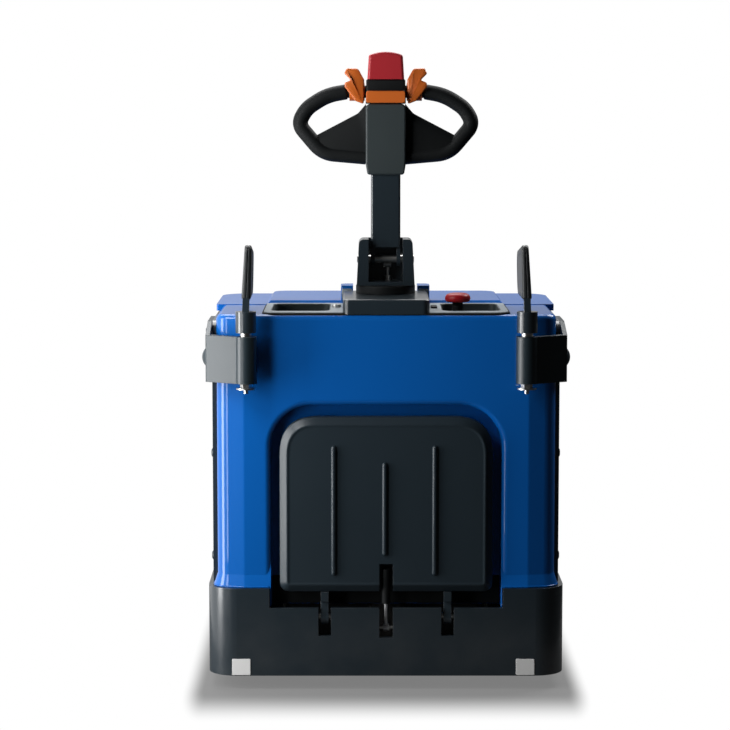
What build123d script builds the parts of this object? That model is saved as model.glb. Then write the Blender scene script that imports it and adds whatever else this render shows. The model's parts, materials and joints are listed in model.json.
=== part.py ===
"""Ride-on electric pallet truck: drive end with a moulded cover, tiller, folding platform and
guard arms, and a lifting fork frame that carries the battery.

Axes: +X right seen from the operator's end, +Y towards the fork tips, +Z up.
Depths along Y are counted from the skirt's rear face while drawing. place() then shifts every
piece so that the origin lies on the floor, under the middle of the whole length.
"""
import os

from build123d import *

SIDES = {"left": -1, "right": 1}

# General fits
PIN_GAP = 0.3
SEAT_GAP = 0.3
SWING_GAP = 5.0

# Chassis skirt and side plates
TRUCK_WIDTH = 738.0
SKIRT_HALF = TRUCK_WIDTH / 2
SKIRT_WALL = 12.0
SKIRT_CORNER = 60.0
SKIRT_BOTTOM = 30.0
SKIRT_TOP = 213.0
SKIRT_FRONT = 440.0
NOTCH_TOP = 172.0
SIDE_PLATE_OUT = SKIRT_HALF - 8.0
SIDE_PLATE_WALL = 8.0
SIDE_PLATE_IN = SIDE_PLATE_OUT - SIDE_PLATE_WALL
SIDE_PLATE_REAR = 80.0
SIDE_PLATE_TOP = 760.0
SIDE_PLATE_CORNER = 40.0
BASE_PLATE_Z = 168.0
BASE_PLATE_THICK = 8.0
BASE_PLATE_REAR = 100.0
BASE_PLATE_FRONT = 338.0
DRIVE_PLATE_Z = 300.0
DRIVE_PLATE_THICK = 12.0
DRIVE_WEB = 10.0

# Moulded cover over the drive
COVER_HALF = SIDE_PLATE_IN - 3.0
COVER_REAR = 14.0
COVER_FRONT = 262.0
COVER_TOP = SIDE_PLATE_TOP + 19.0
COVER_WALL = 5.0
COVER_CORNER = 30.0
FACET_IN = COVER_HALF - 57.0
FACET_DEPTH = 12.0
FACET_EDGE = 20.0
COVER_TOP_EDGE = 12.0
LIP_OUT = 8.0
LIP_HEIGHT = 26.0
RECESS_DEPTH = 36.0
RECESS_CORNER = 88.0
RECESS_EDGE = 12.0

# Dash panel with its two trays, and the tiller's mounting block
BLOCK_HALF = 89.0
DASH_HALF = COVER_HALF - 98.0
DASH_REAR = 24.0
DASH_FRONT = 260.0
DASH_RISE = 4.0
DASH_CORNER = 30.0
TRAY_IN = BLOCK_HALF + 27.0
TRAY_OUT = DASH_HALF - 14.0
TRAY_REAR = DASH_REAR + 38.0
TRAY_FRONT = DASH_FRONT - 14.0
TRAY_DEPTH = 46.0
TRAY_WALL = 3.0
TRAY_CORNER = 22.0
BLOCK_REAR = 18.0
BLOCK_FRONT = DASH_FRONT
BLOCK_TOP = COVER_TOP + 31.0
BLOCK_CORNER = 14.0
KEY_X = BLOCK_HALF + 14.0
KEY_DEPTH = 150.0
KEY_RADIUS = 9.0
KEY_HEIGHT = 6.0
STOP_X = TRAY_IN + 33.0
STOP_DEPTH = 100.0
STOP_HEAD_RADIUS = 26.5
STOP_HEAD_BOTTOM = COVER_TOP + 20.0
STOP_HEAD_TOP = STOP_HEAD_BOTTOM + 19.0
STOP_STEM_RADIUS = 11.0

# Steering column, drive unit and drive wheel
STEER_DEPTH = 200.0
RING_RADIUS = 62.5
RING_HEIGHT = 18.0
COLUMN_RADIUS = 26.0
DRIVE_RADIUS = 115.0
DRIVE_WIDTH = 75.0
DRIVE_RIM_RADIUS = 88.0
DRIVE_HUB_RADIUS = 30.0
DRIVE_AXLE_RADIUS = 18.0
TURNTABLE_RADIUS = 105.0
TURNTABLE_THICK = 18.0
NECK_RADIUS = 60.0
MOTOR_RADIUS = 82.0
MOTOR_TOP = 520.0
GEARCASE_WALL = 40.0
GEARCASE_RADIUS = 52.0
WHEEL_SIDE_GAP = 6.0

# Tiller
YOKE_BOTTOM_HALF = 61.0
YOKE_TOP_HALF = 56.0
YOKE_CHEEK = 20.0
YOKE_DEPTH = 84.0
YOKE_FLOOR = 8.0
YOKE_WALL = 8.0
TILT_Z = BLOCK_TOP + 72.0
YOKE_TOP = TILT_Z + 43.0
TILT_PIN_RADIUS = 8.0
SPRING_X = 4.0
SPRING_OFFSET = 20.0
SPRING_ROD_RADIUS = 4.0
TUBE_HALF = 31.0
TUBE_DEPTH = 46.0
TUBE_BOTTOM = TILT_Z + 26.0
TUBE_TOP = TUBE_BOTTOM + 167.0
HEAD_HALF = 42.0
HEAD_NECK_HALF = 38.5
HEAD_NECK_HEIGHT = 22.0
HEAD_BOTTOM = TUBE_TOP - 15.0
HEAD_TOP = HEAD_BOTTOM + 148.0
HEAD_DEPTH = 62.0
HANDLE_RADIUS = 16.0
BAR_BOTTOM = HEAD_TOP + 2.0
BAR_TOP = BAR_BOTTOM + 25.0
BUTTON_HALF = 38.5
BUTTON_BOTTOM = BAR_TOP + 24.0
BUTTON_TOP = BUTTON_BOTTOM + 57.0
BUTTON_CROWN = 7.0
THROTTLE_REACH = 76.0
THROTTLE_GAP = 2.0
THROTTLE_THICK = 10.0
THROTTLE_WALL = 6.0
NECK_BAR_RADIUS = 13.0
# Handle loop, right side: x, z from the head's top, along the grip's centre line
HANDLE_POINTS = [
    (82.0, 25.0),
    (124.0, 17.5),
    (165.5, -9.5),
    (183.5, -42.0),
    (132.5, -103.5),
    (41.0, -111.5),
]
HANDLE_BENDS = [110.0, 60.0, 30.0, 60.0]
# Wing plate inside the loop, right side: x, z from the head's top, corner radius
WING_POINTS = [
    (41.0, 0.0, 0.0),
    (58.0, -20.0, 22.0),
    (158.25, -72.45, 0.0),
    (132.5, -103.5, 0.0),
    (41.0, -111.5, 0.0),
]
WING_HALF = 12.0
# Two-lobed throttle leaf, right side: x, z from the head's top, corner radius
LEAF_POINTS = [
    (45.0, 50.0, 4.0),
    (58.0, 73.5, 8.0),
    (82.0, 74.0, 5.0),
    (87.0, 63.0, 5.0),
    (73.0, 49.0, 3.0),
    (86.0, 44.0, 4.0),
    (86.0, 35.0, 5.0),
    (64.0, 6.0, 6.0),
    (46.0, -1.0, 4.0),
]

# Folding platform
PLATFORM_HALF = COVER_HALF - 130.0
RECESS_GAP = 18.0
RECESS_HALF = PLATFORM_HALF + RECESS_GAP
NOTCH_HALF = RECESS_HALF + 3.0
PLATFORM_BOTTOM = 205.0
PLATFORM_TOP = 569.0
RECESS_TOP = PLATFORM_TOP + RECESS_GAP + 6.0
PLATFORM_REAR = 2.0
PLATFORM_THICK = 36.0
PLATFORM_WALL = 4.0
PLATFORM_TOP_CORNER = 78.0
PLATFORM_LOW_CORNER = 22.0
PLATFORM_EDGE = 10.0
# Platform ribs: x, low end, high end
PLATFORM_RIBS = [
    (-108.0, PLATFORM_BOTTOM + 35.0, PLATFORM_TOP - 58.0),
    (-3.0, PLATFORM_BOTTOM + 76.0, PLATFORM_TOP - 93.0),
    (100.0, PLATFORM_BOTTOM + 35.0, PLATFORM_TOP - 58.0),
]
RIB_RADIUS = 5.0
RIB_SINK = 1.0
STAND_PLATE_THICK = 5.0
MAT_THICK = 4.0
HINGE_DEPTH = 30.0
HINGE_Z = 150.0
HINGE_PIN_RADIUS = 7.0
HINGE_X = PLATFORM_HALF - 93.0
HINGE_ARM_WIDTH = 16.0
HINGE_EYE_RADIUS = 15.0
HINGE_LUG = 10.0
SLOT_BOTTOM = 114.0
STRUT_SLOT_HALF = 14.0
STRUT_SLOT_TOP = 264.0
STRUT_LOW_Z = 127.0
STRUT_LOW_DEPTH = 24.0
STRUT_TOP_Z = 256.0
STRUT_TOP_DEPTH = 15.0
STRUT_BODY_RADIUS = 9.0
STRUT_ROD_RADIUS = 4.0
STRUT_EYE_RADIUS = 8.0
STRUT_PIN_RADIUS = 4.0
STRUT_BODY_START = 52.0
STRUT_ROD_END = 80.0

# Guard arms on their corner brackets
GUARD_INSET = 64.0
GUARD_X = COVER_HALF - GUARD_INSET
GUARD_DEPTH = -20.0
SLEEVE_RADIUS = 22.0
BRACKET_TOP = SIDE_PLATE_TOP - 22.0
BRACKET_BOTTOM = BRACKET_TOP - 96.0
BRACKET_WALL = 9.0
BRACKET_FRONT = 230.0
BRACKET_FRONT_TOP = SIDE_PLATE_TOP
BRACKET_BEND = 8.0
# Domed cap on the bracket's side flange, and its bolt heads: depth, drop from the bracket's top
CAP_DEPTH = 42.0
CAP_DROP = 48.0
CAP_RADIUS = 20.0
CAP_HEIGHT = 9.0
BOLT_RADIUS = 7.0
BOLT_HEIGHT = 5.0
BRACKET_BOLTS = [(110.0, 2.0), (150.0, 2.0), (190.0, 2.0)]
GUARD_PIN_RADIUS = 10.0
HUB_RADIUS = 21.0
HUB_BOTTOM = BRACKET_TOP + 8.0
HUB_TOP = HUB_BOTTOM + 43.0
ARM_TOP = HUB_TOP + 137.0
ARM_LENGTH = 300.0
ARM_LEAN = 2.6
ARM_SPLAY = 1.5
ARM_LOW_HALF = 11.0
ARM_TOP_HALF = 8.5
ARM_DROP = 30.0
ARM_CORNER = 46.0
ARM_FLOOR = HUB_TOP + 13.0
STEM_DEPTH = 40.0
STEM_HALF = 7.0
STEM_TOP = HUB_TOP + 59.0
WASHER_RADIUS = 20.0
WASHER_THICK = 3.0
NUT_RADIUS = 12.0
NUT_HEIGHT = 9.0
PIN_END_RADIUS = 5.0
PIN_END_LENGTH = 9.0

# Stabiliser casters
CASTER_DEPTH = 215.0
CASTER_RADIUS = 62.0
CASTER_WIDTH = 44.0
CASTER_TRAIL = 36.0
CASTER_CHEEK = 6.0
CASTER_AXLE_RADIUS = 8.0
CASTER_PLATE = 96.0
CASTER_SWEEP = ((CASTER_TRAIL + CASTER_RADIUS) ** 2 + (CASTER_WIDTH / 2) ** 2) ** 0.5
CASTER_X = SIDE_PLATE_IN - CASTER_SWEEP - 8.0

# Fork frame, battery and forks
BOX_HALF = SIDE_PLATE_IN - 7.0
BOX_REAR = 346.0
BOX_FRONT = 556.0
BOX_BOTTOM = 100.0
BOX_TOP = SIDE_PLATE_TOP + 6.0
BOX_WALL = 5.0
BOX_CORNER = 40.0
BATTERY_HEADROOM = 70.0
LID_HALF = SIDE_PLATE_OUT + 1.0
LID_REAR = COVER_FRONT + 4.0
LID_TOP = BOX_TOP + 14.0
LID_OVERHANG = 6.0
LID_CORNER = 60.0
HUMP_HALF = DASH_HALF + 2.0
HUMP_RISE = 8.0
HUMP_FRONT_GAP = 14.0
STEP_HALF = BLOCK_HALF + 6.0
STEP_RISE = 40.0
STEP_FRONT = 330.0
STEP_SLOT_HALF = STEP_HALF - 26.0
HEEL_REAR = BOX_FRONT
HEEL_THICK = 14.0
HEEL_TOP = 560.0
FORK_SPREAD = 550.0
FORK_WIDTH = 180.0
FORK_X = (FORK_SPREAD - FORK_WIDTH) / 2
FORK_LENGTH = 1150.0
HEEL_SHOE = 70.0
HEEL_HALF = FORK_SPREAD / 2 + 25.0
FORK_TOP = 85.0
FORK_BOTTOM = 30.0
FORK_WALL = 6.0
FORK_TIP = HEEL_REAR + HEEL_THICK + FORK_LENGTH
FORK_TAPER = 190.0
FORK_SHOULDER = 60.0
FORK_NOSE = 24.0
UNDERFRAME_HALF = FORK_SPREAD / 2 - 3.0
UNDERFRAME_WALL = 10.0
GUSSET_HEIGHT = 220.0
GUSSET_HALF = 5.0
LIFT = 120.0

# Wear pads between battery box and chassis
PAD_REAR = 390.0
PAD_WIDTH = 50.0
PAD_SPANS = [(120.0, 240.0), (460.0, 580.0)]

# Load wheels and their linkage
ROLLER_RADIUS = 41.0
ROLLER_WIDTH = 88.0
ROLLER_AXLE_RADIUS = 10.0
ARM_PIVOT_BACK = 302.0
ARM_PIVOT_DEPTH = FORK_TIP - ARM_PIVOT_BACK
ARM_PIVOT_Z = 58.0
ARM_PIVOT_RADIUS = 10.0
ARM_REACH = 165.0
ARM_CHEEK = 8.0
ARM_EYE_RADIUS = 18.0
LUG_DROP = 16.0
LUG_HALF = 6.0
ROD_RADIUS = 8.0
ROD_REAR = HEEL_REAR - 40.0
CLEVIS_LENGTH = 60.0

# Derived places
DRIVE_SWEEP = (DRIVE_RADIUS ** 2 + (DRIVE_WIDTH / 2) ** 2) ** 0.5
DRIVE_PLATE_MARGIN = 59.0
DRIVE_PLATE_HALF = DRIVE_SWEEP + DRIVE_PLATE_MARGIN
ORIGIN_DEPTH = (GUARD_DEPTH - SLEEVE_RADIUS + FORK_TIP) / 2
GEARCASE_X = DRIVE_WIDTH / 2 + WHEEL_SIDE_GAP
ROLLER_DEPTH = ARM_PIVOT_DEPTH + (ARM_REACH ** 2 - (ARM_PIVOT_Z - ROLLER_RADIUS) ** 2) ** 0.5
FORK_INNER_HALF = FORK_WIDTH / 2 - FORK_WALL
CASTER_TOP = BASE_PLATE_Z - SEAT_GAP


def block(x0, x1, y0, y1, z0, z1):
    """Box between two corners."""
    return Pos((x0 + x1) / 2, (y0 + y1) / 2, (z0 + z1) / 2) * Box(x1 - x0, y1 - y0, z1 - z0)


def rod_x(radius, x0, x1, y, z):
    """Round bar along X."""
    return Pos((x0 + x1) / 2, y, z) * Rot(0, 90, 0) * Cylinder(radius, x1 - x0)


def rod_y(radius, x, y0, y1, z):
    """Round bar along Y."""
    return Pos(x, (y0 + y1) / 2, z) * Rot(90, 0, 0) * Cylinder(radius, y1 - y0)


def rod_z(radius, x, y, z0, z1):
    """Round bar along Z."""
    return Pos(x, y, (z0 + z1) / 2) * Cylinder(radius, z1 - z0)


def wheel_x(x, y, radius, width, bore, chamfer_size):
    """Wheel standing on the floor with its axle along X: a turned ring with chamfered shoulders."""
    half = width / 2
    section = make_face(
        Polyline(
            (-half, bore),
            (half, bore),
            (half, radius - chamfer_size),
            (half - chamfer_size, radius),
            (chamfer_size - half, radius),
            (-half, radius - chamfer_size),
            close=True,
        )
    )
    return Pos(x, y, radius) * revolve(section, axis=Axis.X)


def outline(points, radii):
    """Flat face with a rounded corner at each point; a radius of 0 leaves it sharp."""
    face = make_face(Polyline(*points, close=True))
    for point, radius in zip(points, radii):
        if radius > 0:
            corner = face.vertices().sort_by_distance((*point, 0))[0]
            face = fillet(corner, radius)
    return face


def upright(face, z0, z1, taper=0):
    """Extrudes a plan outline in X and Y from z0 to z1."""
    return extrude(Pos(0, 0, z0) * face, amount=z1 - z0, taper=taper)


def across(face, x0, x1):
    """Extrudes a side outline in Y and Z from x0 to x1."""
    return extrude(Plane.YZ.offset(x0) * face, amount=x1 - x0)


def inward(face, y0, y1):
    """Extrudes a rear outline in X and Z from y0 to y1."""
    return extrude(Plane.XZ.offset(-y1) * face, amount=y1 - y0)


def link(y0, z0, y1, z1, radius):
    """Round-ended link outline between two eyes, in Y and Z."""
    length = ((y1 - y0) ** 2 + (z1 - z0) ** 2) ** 0.5
    angle = Vector(1, 0, 0).get_signed_angle(Vector(y1 - y0, z1 - z0, 0))
    middle = Pos((y0 + y1) / 2, (z0 + z1) / 2)
    return middle * Rot(0, 0, angle) * SlotCenterToCenter(length, 2 * radius)


def place(shape):
    """Moves a drawn piece into the row frame."""
    return Pos(0, -ORIGIN_DEPTH, 0) * shape


def chassis_frame():
    """Skirt, side plates, base plate, drive plate and platform hinge lugs, welded."""
    corners = [
        (-SKIRT_HALF, SKIRT_FRONT),
        (-SKIRT_HALF, 0),
        (SKIRT_HALF, 0),
        (SKIRT_HALF, SKIRT_FRONT),
    ]
    shell = outline(corners, [0, SKIRT_CORNER, SKIRT_CORNER, 0])
    inner_half = SKIRT_HALF - SKIRT_WALL
    inside = [
        (-inner_half, SKIRT_FRONT + 1),
        (-inner_half, SKIRT_WALL),
        (inner_half, SKIRT_WALL),
        (inner_half, SKIRT_FRONT + 1),
    ]
    inner_corner = SKIRT_CORNER - SKIRT_WALL
    hollow = outline(inside, [0, inner_corner, inner_corner, 0])
    frame = upright(shell, SKIRT_BOTTOM, SKIRT_TOP) - upright(hollow, 0, SKIRT_TOP + 1)
    frame -= block(-NOTCH_HALF, NOTCH_HALF, -1, SKIRT_CORNER, NOTCH_TOP, SKIRT_TOP + 1)
    slot_half = HINGE_ARM_WIDTH / 2 + SWING_GAP
    for side in SIDES.values():
        x = side * HINGE_X
        frame -= block(x - slot_half, x + slot_half, -1, SKIRT_WALL + 1, SLOT_BOTTOM, NOTCH_TOP + 1)
    strut_slot_bottom = SLOT_BOTTOM - 4
    frame -= block(-STRUT_SLOT_HALF, STRUT_SLOT_HALF, -1, SKIRT_WALL + 1,
                   strut_slot_bottom, NOTCH_TOP + 1)

    plate_in = SIDE_PLATE_IN
    side_outline = [
        (SIDE_PLATE_REAR, SKIRT_BOTTOM),
        (SKIRT_FRONT, SKIRT_BOTTOM),
        (SKIRT_FRONT, SIDE_PLATE_TOP),
        (SIDE_PLATE_REAR, SIDE_PLATE_TOP),
    ]
    plate = outline(side_outline, [0, 0, SIDE_PLATE_CORNER, SIDE_PLATE_CORNER])
    for side in SIDES.values():
        x0, x1 = sorted((side * plate_in, side * SIDE_PLATE_OUT))
        frame += across(plate, x0, x1)

    base = block(-plate_in, plate_in, BASE_PLATE_REAR, BASE_PLATE_FRONT,
                 BASE_PLATE_Z, BASE_PLATE_Z + BASE_PLATE_THICK)
    sweep = DRIVE_SWEEP + SWING_GAP
    frame += base - rod_z(sweep, 0, STEER_DEPTH, 0, DRIVE_PLATE_Z)
    drive = block(
        -DRIVE_PLATE_HALF,
        DRIVE_PLATE_HALF,
        BASE_PLATE_REAR,
        BASE_PLATE_FRONT,
        DRIVE_PLATE_Z,
        DRIVE_PLATE_Z + DRIVE_PLATE_THICK,
    )
    for side in SIDES.values():
        x0, x1 = sorted((side * (DRIVE_PLATE_HALF - DRIVE_WEB), side * DRIVE_PLATE_HALF))
        drive += block(x0, x1, BASE_PLATE_REAR, BASE_PLATE_FRONT, BASE_PLATE_Z, DRIVE_PLATE_Z + 1)
    frame += drive - rod_z(NECK_RADIUS + PIN_GAP, 0, STEER_DEPTH, 0, COVER_TOP)

    lug = link(HINGE_DEPTH, HINGE_Z, SKIRT_WALL, HINGE_Z, HINGE_EYE_RADIUS)
    lug_in = HINGE_ARM_WIDTH / 2 + SWING_GAP
    for side in SIDES.values():
        for edge in (-1, 1):
            middle = side * HINGE_X
            x0, x1 = sorted((middle + edge * lug_in, middle + edge * (lug_in + HINGE_LUG)))
            frame += across(lug, x0, x1) - block(x0 - 1, x1 + 1, -SKIRT_CORNER, 0, 0, SKIRT_TOP)
    strut_lug = link(STRUT_LOW_DEPTH, STRUT_LOW_Z, SKIRT_WALL, STRUT_LOW_Z, STRUT_EYE_RADIUS + 2)
    for edge in (-1, 1):
        x0, x1 = sorted((edge * STRUT_SLOT_HALF, edge * (STRUT_SLOT_HALF + HINGE_LUG)))
        frame += across(strut_lug, x0, x1) - block(x0 - 1, x1 + 1, -SKIRT_CORNER, 0, 0, SKIRT_TOP)
    reach = HINGE_X + lug_in + HINGE_LUG
    frame -= rod_x(HINGE_PIN_RADIUS, -reach - 1, reach + 1, HINGE_DEPTH, HINGE_Z)
    frame -= rod_x(STRUT_PIN_RADIUS, -STRUT_SLOT_HALF - HINGE_LUG - 1, STRUT_SLOT_HALF + HINGE_LUG + 1,
                   STRUT_LOW_DEPTH, STRUT_LOW_Z)
    return frame


def hinge_pins():
    """Platform hinge pins and the strut's lower pin, held in the chassis lugs."""
    lug_out = HINGE_ARM_WIDTH / 2 + SWING_GAP + HINGE_LUG
    pins = []
    for side in SIDES.values():
        x = side * HINGE_X
        reach = lug_out + 3
        pins.append(rod_x(HINGE_PIN_RADIUS - 0.01, x - reach, x + reach, HINGE_DEPTH, HINGE_Z))
    strut_out = STRUT_SLOT_HALF + HINGE_LUG + 3
    pins.append(rod_x(STRUT_PIN_RADIUS - 0.01, -strut_out, strut_out, STRUT_LOW_DEPTH, STRUT_LOW_Z))
    return Compound(children=pins)


def recess_face(grow):
    """Rear outline of the platform's recess, grown outwards by a wall."""
    half, top = RECESS_HALF + grow, RECESS_TOP + grow
    points = [(-half, 0), (half, 0), (half, top), (-half, top)]
    return outline(points, [0, 0, RECESS_CORNER + grow, RECESS_CORNER + grow])


def cover_plan(grow, front):
    """Plan outline of the cover, grown outwards."""
    half, rear = COVER_HALF + grow, COVER_REAR - grow
    points = [
        (-half, front),
        (-half, rear + FACET_DEPTH),
        (-FACET_IN, rear),
        (FACET_IN, rear),
        (half, rear + FACET_DEPTH),
        (half, front),
    ]
    corner = COVER_CORNER + grow
    return outline(points, [0, corner, FACET_EDGE, FACET_EDGE, corner, 0])


def drive_cover():
    """Moulded cover: a hollow hood, open below and in front, with the platform's recess."""
    outer = upright(cover_plan(0, COVER_FRONT), NOTCH_TOP + SEAT_GAP, COVER_TOP)
    top_edges = outer.faces().sort_by(Axis.Z)[-1].edges().filter_by(
        lambda edge: edge.center().Y < COVER_FRONT - 1
    )
    outer = fillet(top_edges, COVER_TOP_EDGE)
    lip_bottom = SKIRT_TOP + SEAT_GAP
    lip = loft(
        [
            Pos(0, 0, lip_bottom) * cover_plan(LIP_OUT, SIDE_PLATE_REAR - SWING_GAP),
            Pos(0, 0, lip_bottom + LIP_HEIGHT) * cover_plan(0, SIDE_PLATE_REAR - SWING_GAP),
        ]
    )
    outer += lip
    recess_floor = COVER_REAR + RECESS_DEPTH
    outer -= inward(recess_face(0), -SKIRT_CORNER, recess_floor)
    mouth = outer.edges().filter_by(
        lambda edge: abs(edge.center().Y - COVER_REAR) < 0.1
        and edge.center().Z > SKIRT_TOP + LIP_HEIGHT + 1
        and abs(edge.center().X) < RECESS_HALF + 1
        and edge.center().Z < COVER_TOP - 2 * COVER_TOP_EDGE
    )
    outer = fillet(mouth, RECESS_EDGE)
    hollow = upright(cover_plan(-COVER_WALL, COVER_FRONT + 1), 0, COVER_TOP - COVER_WALL)
    hollow -= inward(recess_face(COVER_WALL), -SKIRT_CORNER, recess_floor + COVER_WALL)
    shell = outer - hollow
    shell -= block(-COVER_HALF - 1, COVER_HALF + 1, BASE_PLATE_REAR - SWING_GAP, COVER_FRONT + 1,
                   0, BASE_PLATE_Z + BASE_PLATE_THICK + SEAT_GAP)
    return shell - dash_opening()


def dash_opening():
    """Holes in the cover's top for the trays and for the steering column."""
    holes = rod_z(RING_RADIUS - 4, 0, STEER_DEPTH, COVER_TOP - 2 * COVER_WALL, COVER_TOP + 1)
    for side in SIDES.values():
        x0, x1 = sorted((side * (TRAY_IN - TRAY_WALL - 1), side * (TRAY_OUT + TRAY_WALL + 1)))
        holes += block(x0, x1, TRAY_REAR - TRAY_WALL - 1, TRAY_FRONT + TRAY_WALL + 1,
                       COVER_TOP - 2 * COVER_WALL, COVER_TOP + 1)
    return holes


def tray_face(x0, x1, grow):
    """Plan outline of one storage tray."""
    points = [
        (x0 - grow, TRAY_REAR - grow),
        (x1 + grow, TRAY_REAR - grow),
        (x1 + grow, TRAY_FRONT + grow),
        (x0 - grow, TRAY_FRONT + grow),
    ]
    return outline(points, [TRAY_CORNER + grow] * 4)


def dash_panel():
    """Dash insert on the cover's top, with a sunk storage tray each side of the tiller."""
    plan = [
        (-DASH_HALF, DASH_FRONT),
        (-DASH_HALF, DASH_REAR),
        (DASH_HALF, DASH_REAR),
        (DASH_HALF, DASH_FRONT),
    ]
    bottom = COVER_TOP + SEAT_GAP
    top = bottom + DASH_RISE
    panel = upright(outline(plan, [12, DASH_CORNER, DASH_CORNER, 12]), bottom, top)
    panel -= block(-BLOCK_HALF - PIN_GAP, BLOCK_HALF + PIN_GAP, 0, DASH_FRONT + 1, bottom - 1, top + 1)
    for side in SIDES.values():
        x0, x1 = sorted((side * TRAY_IN, side * TRAY_OUT))
        panel += upright(tray_face(x0, x1, TRAY_WALL), COVER_TOP - TRAY_DEPTH, bottom + 1)
        panel -= upright(tray_face(x0, x1, 0), COVER_TOP - TRAY_DEPTH + TRAY_WALL, top + 1)
    return panel


def tiller_block():
    """Raised block on the cover that the steering column comes up through."""
    plan = [
        (-BLOCK_HALF, BLOCK_FRONT),
        (-BLOCK_HALF, BLOCK_REAR),
        (BLOCK_HALF, BLOCK_REAR),
        (BLOCK_HALF, BLOCK_FRONT),
    ]
    body = upright(outline(plan, [BLOCK_CORNER] * 4), COVER_TOP + SEAT_GAP, BLOCK_TOP)
    body = fillet(body.faces().sort_by(Axis.Z)[-1].edges(), 4)
    return body - rod_z(COLUMN_RADIUS + 4, 0, STEER_DEPTH, COVER_TOP, BLOCK_TOP + 1)


def emergency_stop():
    """Mushroom stop button on its stem, standing on the right tray's floor; one turned profile."""
    floor = COVER_TOP - TRAY_DEPTH + TRAY_WALL + SEAT_GAP
    bevel = STOP_HEAD_RADIUS / 5
    section = make_face(
        Polyline(
            (0, floor),
            (STOP_STEM_RADIUS, floor),
            (STOP_STEM_RADIUS, STOP_HEAD_BOTTOM),
            (STOP_HEAD_RADIUS - bevel / 2, STOP_HEAD_BOTTOM),
            (STOP_HEAD_RADIUS, STOP_HEAD_BOTTOM + bevel / 2),
            (STOP_HEAD_RADIUS, STOP_HEAD_TOP - bevel),
            (STOP_HEAD_RADIUS - bevel, STOP_HEAD_TOP - bevel / 4),
            (0, STOP_HEAD_TOP),
            close=True,
        )
    )
    return Pos(STOP_X, STOP_DEPTH, 0) * revolve(Plane.XZ * section, axis=Axis.Z)


def key_switch():
    """Round key switch in the dash, beside the left tray."""
    bottom = COVER_TOP + SEAT_GAP + DASH_RISE
    switch = rod_z(KEY_RADIUS, -KEY_X, KEY_DEPTH, bottom, bottom + KEY_HEIGHT)
    return switch - block(-KEY_X - 2, -KEY_X + 2, KEY_DEPTH - KEY_RADIUS / 2, KEY_DEPTH + KEY_RADIUS / 2,
                          bottom + KEY_HEIGHT / 2, bottom + KEY_HEIGHT + 1)


def guard_bracket(side):
    """Corner bracket bent from plate: bolted side flange, slanted rear flange and the pin's sleeve."""
    outer = SIDE_PLATE_OUT + BRACKET_WALL
    flange = [
        (BRACKET_BEND, BRACKET_BOTTOM),
        (BRACKET_FRONT, BRACKET_BOTTOM),
        (BRACKET_FRONT, BRACKET_FRONT_TOP),
        (SIDE_PLATE_REAR + BRACKET_WALL, BRACKET_FRONT_TOP),
        (BRACKET_BEND, BRACKET_TOP),
    ]
    x0, x1 = sorted((side * SIDE_PLATE_OUT, side * outer))
    bracket = across(outline(flange, [0, 24, 24, 16, 0]), x0, x1)
    bend = [
        (side * outer, BRACKET_BEND),
        (side * outer, BRACKET_BEND + 2 * BRACKET_WALL),
        (side * SIDE_PLATE_OUT, BRACKET_BEND + 2 * BRACKET_WALL),
        (side * (GUARD_X + 2), GUARD_DEPTH),
        (side * GUARD_X, GUARD_DEPTH - SLEEVE_RADIUS + 1),
    ]
    bracket += upright(outline(bend, [6, 0, 0, 0, 0]), BRACKET_BOTTOM, BRACKET_TOP)
    bracket += rod_z(SLEEVE_RADIUS, side * GUARD_X, GUARD_DEPTH, BRACKET_BOTTOM, BRACKET_TOP)
    bracket += bracket_cap(side, outer)
    for depth, drop in BRACKET_BOLTS:
        x0, x1 = sorted((side * outer, side * (outer + BOLT_HEIGHT)))
        bracket += rod_x(BOLT_RADIUS, x0, x1, depth, BRACKET_TOP - drop)
    return bracket - rod_z(GUARD_PIN_RADIUS + PIN_GAP, side * GUARD_X, GUARD_DEPTH, 0, HUB_TOP)


def bracket_cap(side, outer):
    """Domed cap on the bracket's outer face, a slice of a ball."""
    ball_radius = (CAP_RADIUS ** 2 + CAP_HEIGHT ** 2) / (2 * CAP_HEIGHT)
    middle = side * (outer + CAP_HEIGHT - ball_radius)
    ball = Pos(middle, CAP_DEPTH, BRACKET_TOP - CAP_DROP) * Rot(0, 90, 0) * Sphere(ball_radius)
    x0, x1 = sorted((side * (outer - 1), side * (outer + 2 * CAP_HEIGHT)))
    reach = 2 * CAP_RADIUS
    return ball & block(x0, x1, CAP_DEPTH - reach, CAP_DEPTH + reach,
                        BRACKET_TOP - CAP_DROP - reach, BRACKET_TOP - CAP_DROP + reach)


def guard_pin(side):
    """Swing pin with a nut, a washer and its thin end below the bracket."""
    x = side * GUARD_X
    washer_top = BRACKET_BOTTOM - NUT_HEIGHT
    washer_bottom = washer_top - WASHER_THICK
    pin = rod_z(GUARD_PIN_RADIUS, x, GUARD_DEPTH, washer_top, HUB_BOTTOM)
    pin += rod_z(WASHER_RADIUS, x, GUARD_DEPTH, washer_bottom, washer_top)
    pin += rod_z(PIN_END_RADIUS, x, GUARD_DEPTH, washer_bottom - PIN_END_LENGTH, washer_bottom)
    nut = extrude(RegularPolygon(NUT_RADIUS, 6), amount=NUT_HEIGHT - SEAT_GAP)
    pin += Pos(x, GUARD_DEPTH, washer_top) * nut
    return pin + rod_z(GUARD_PIN_RADIUS + 2, x, GUARD_DEPTH, BRACKET_TOP + SEAT_GAP, HUB_BOTTOM)


def stowed(shape, side):
    """Turns a stem or pad about its hub: slightly outwards ahead and inwards at its top."""
    hub = Pos(side * GUARD_X, GUARD_DEPTH, HUB_TOP)
    return hub * Rot(0, -side * ARM_LEAN, -side * ARM_SPLAY) * hub.inverse() * shape


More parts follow.
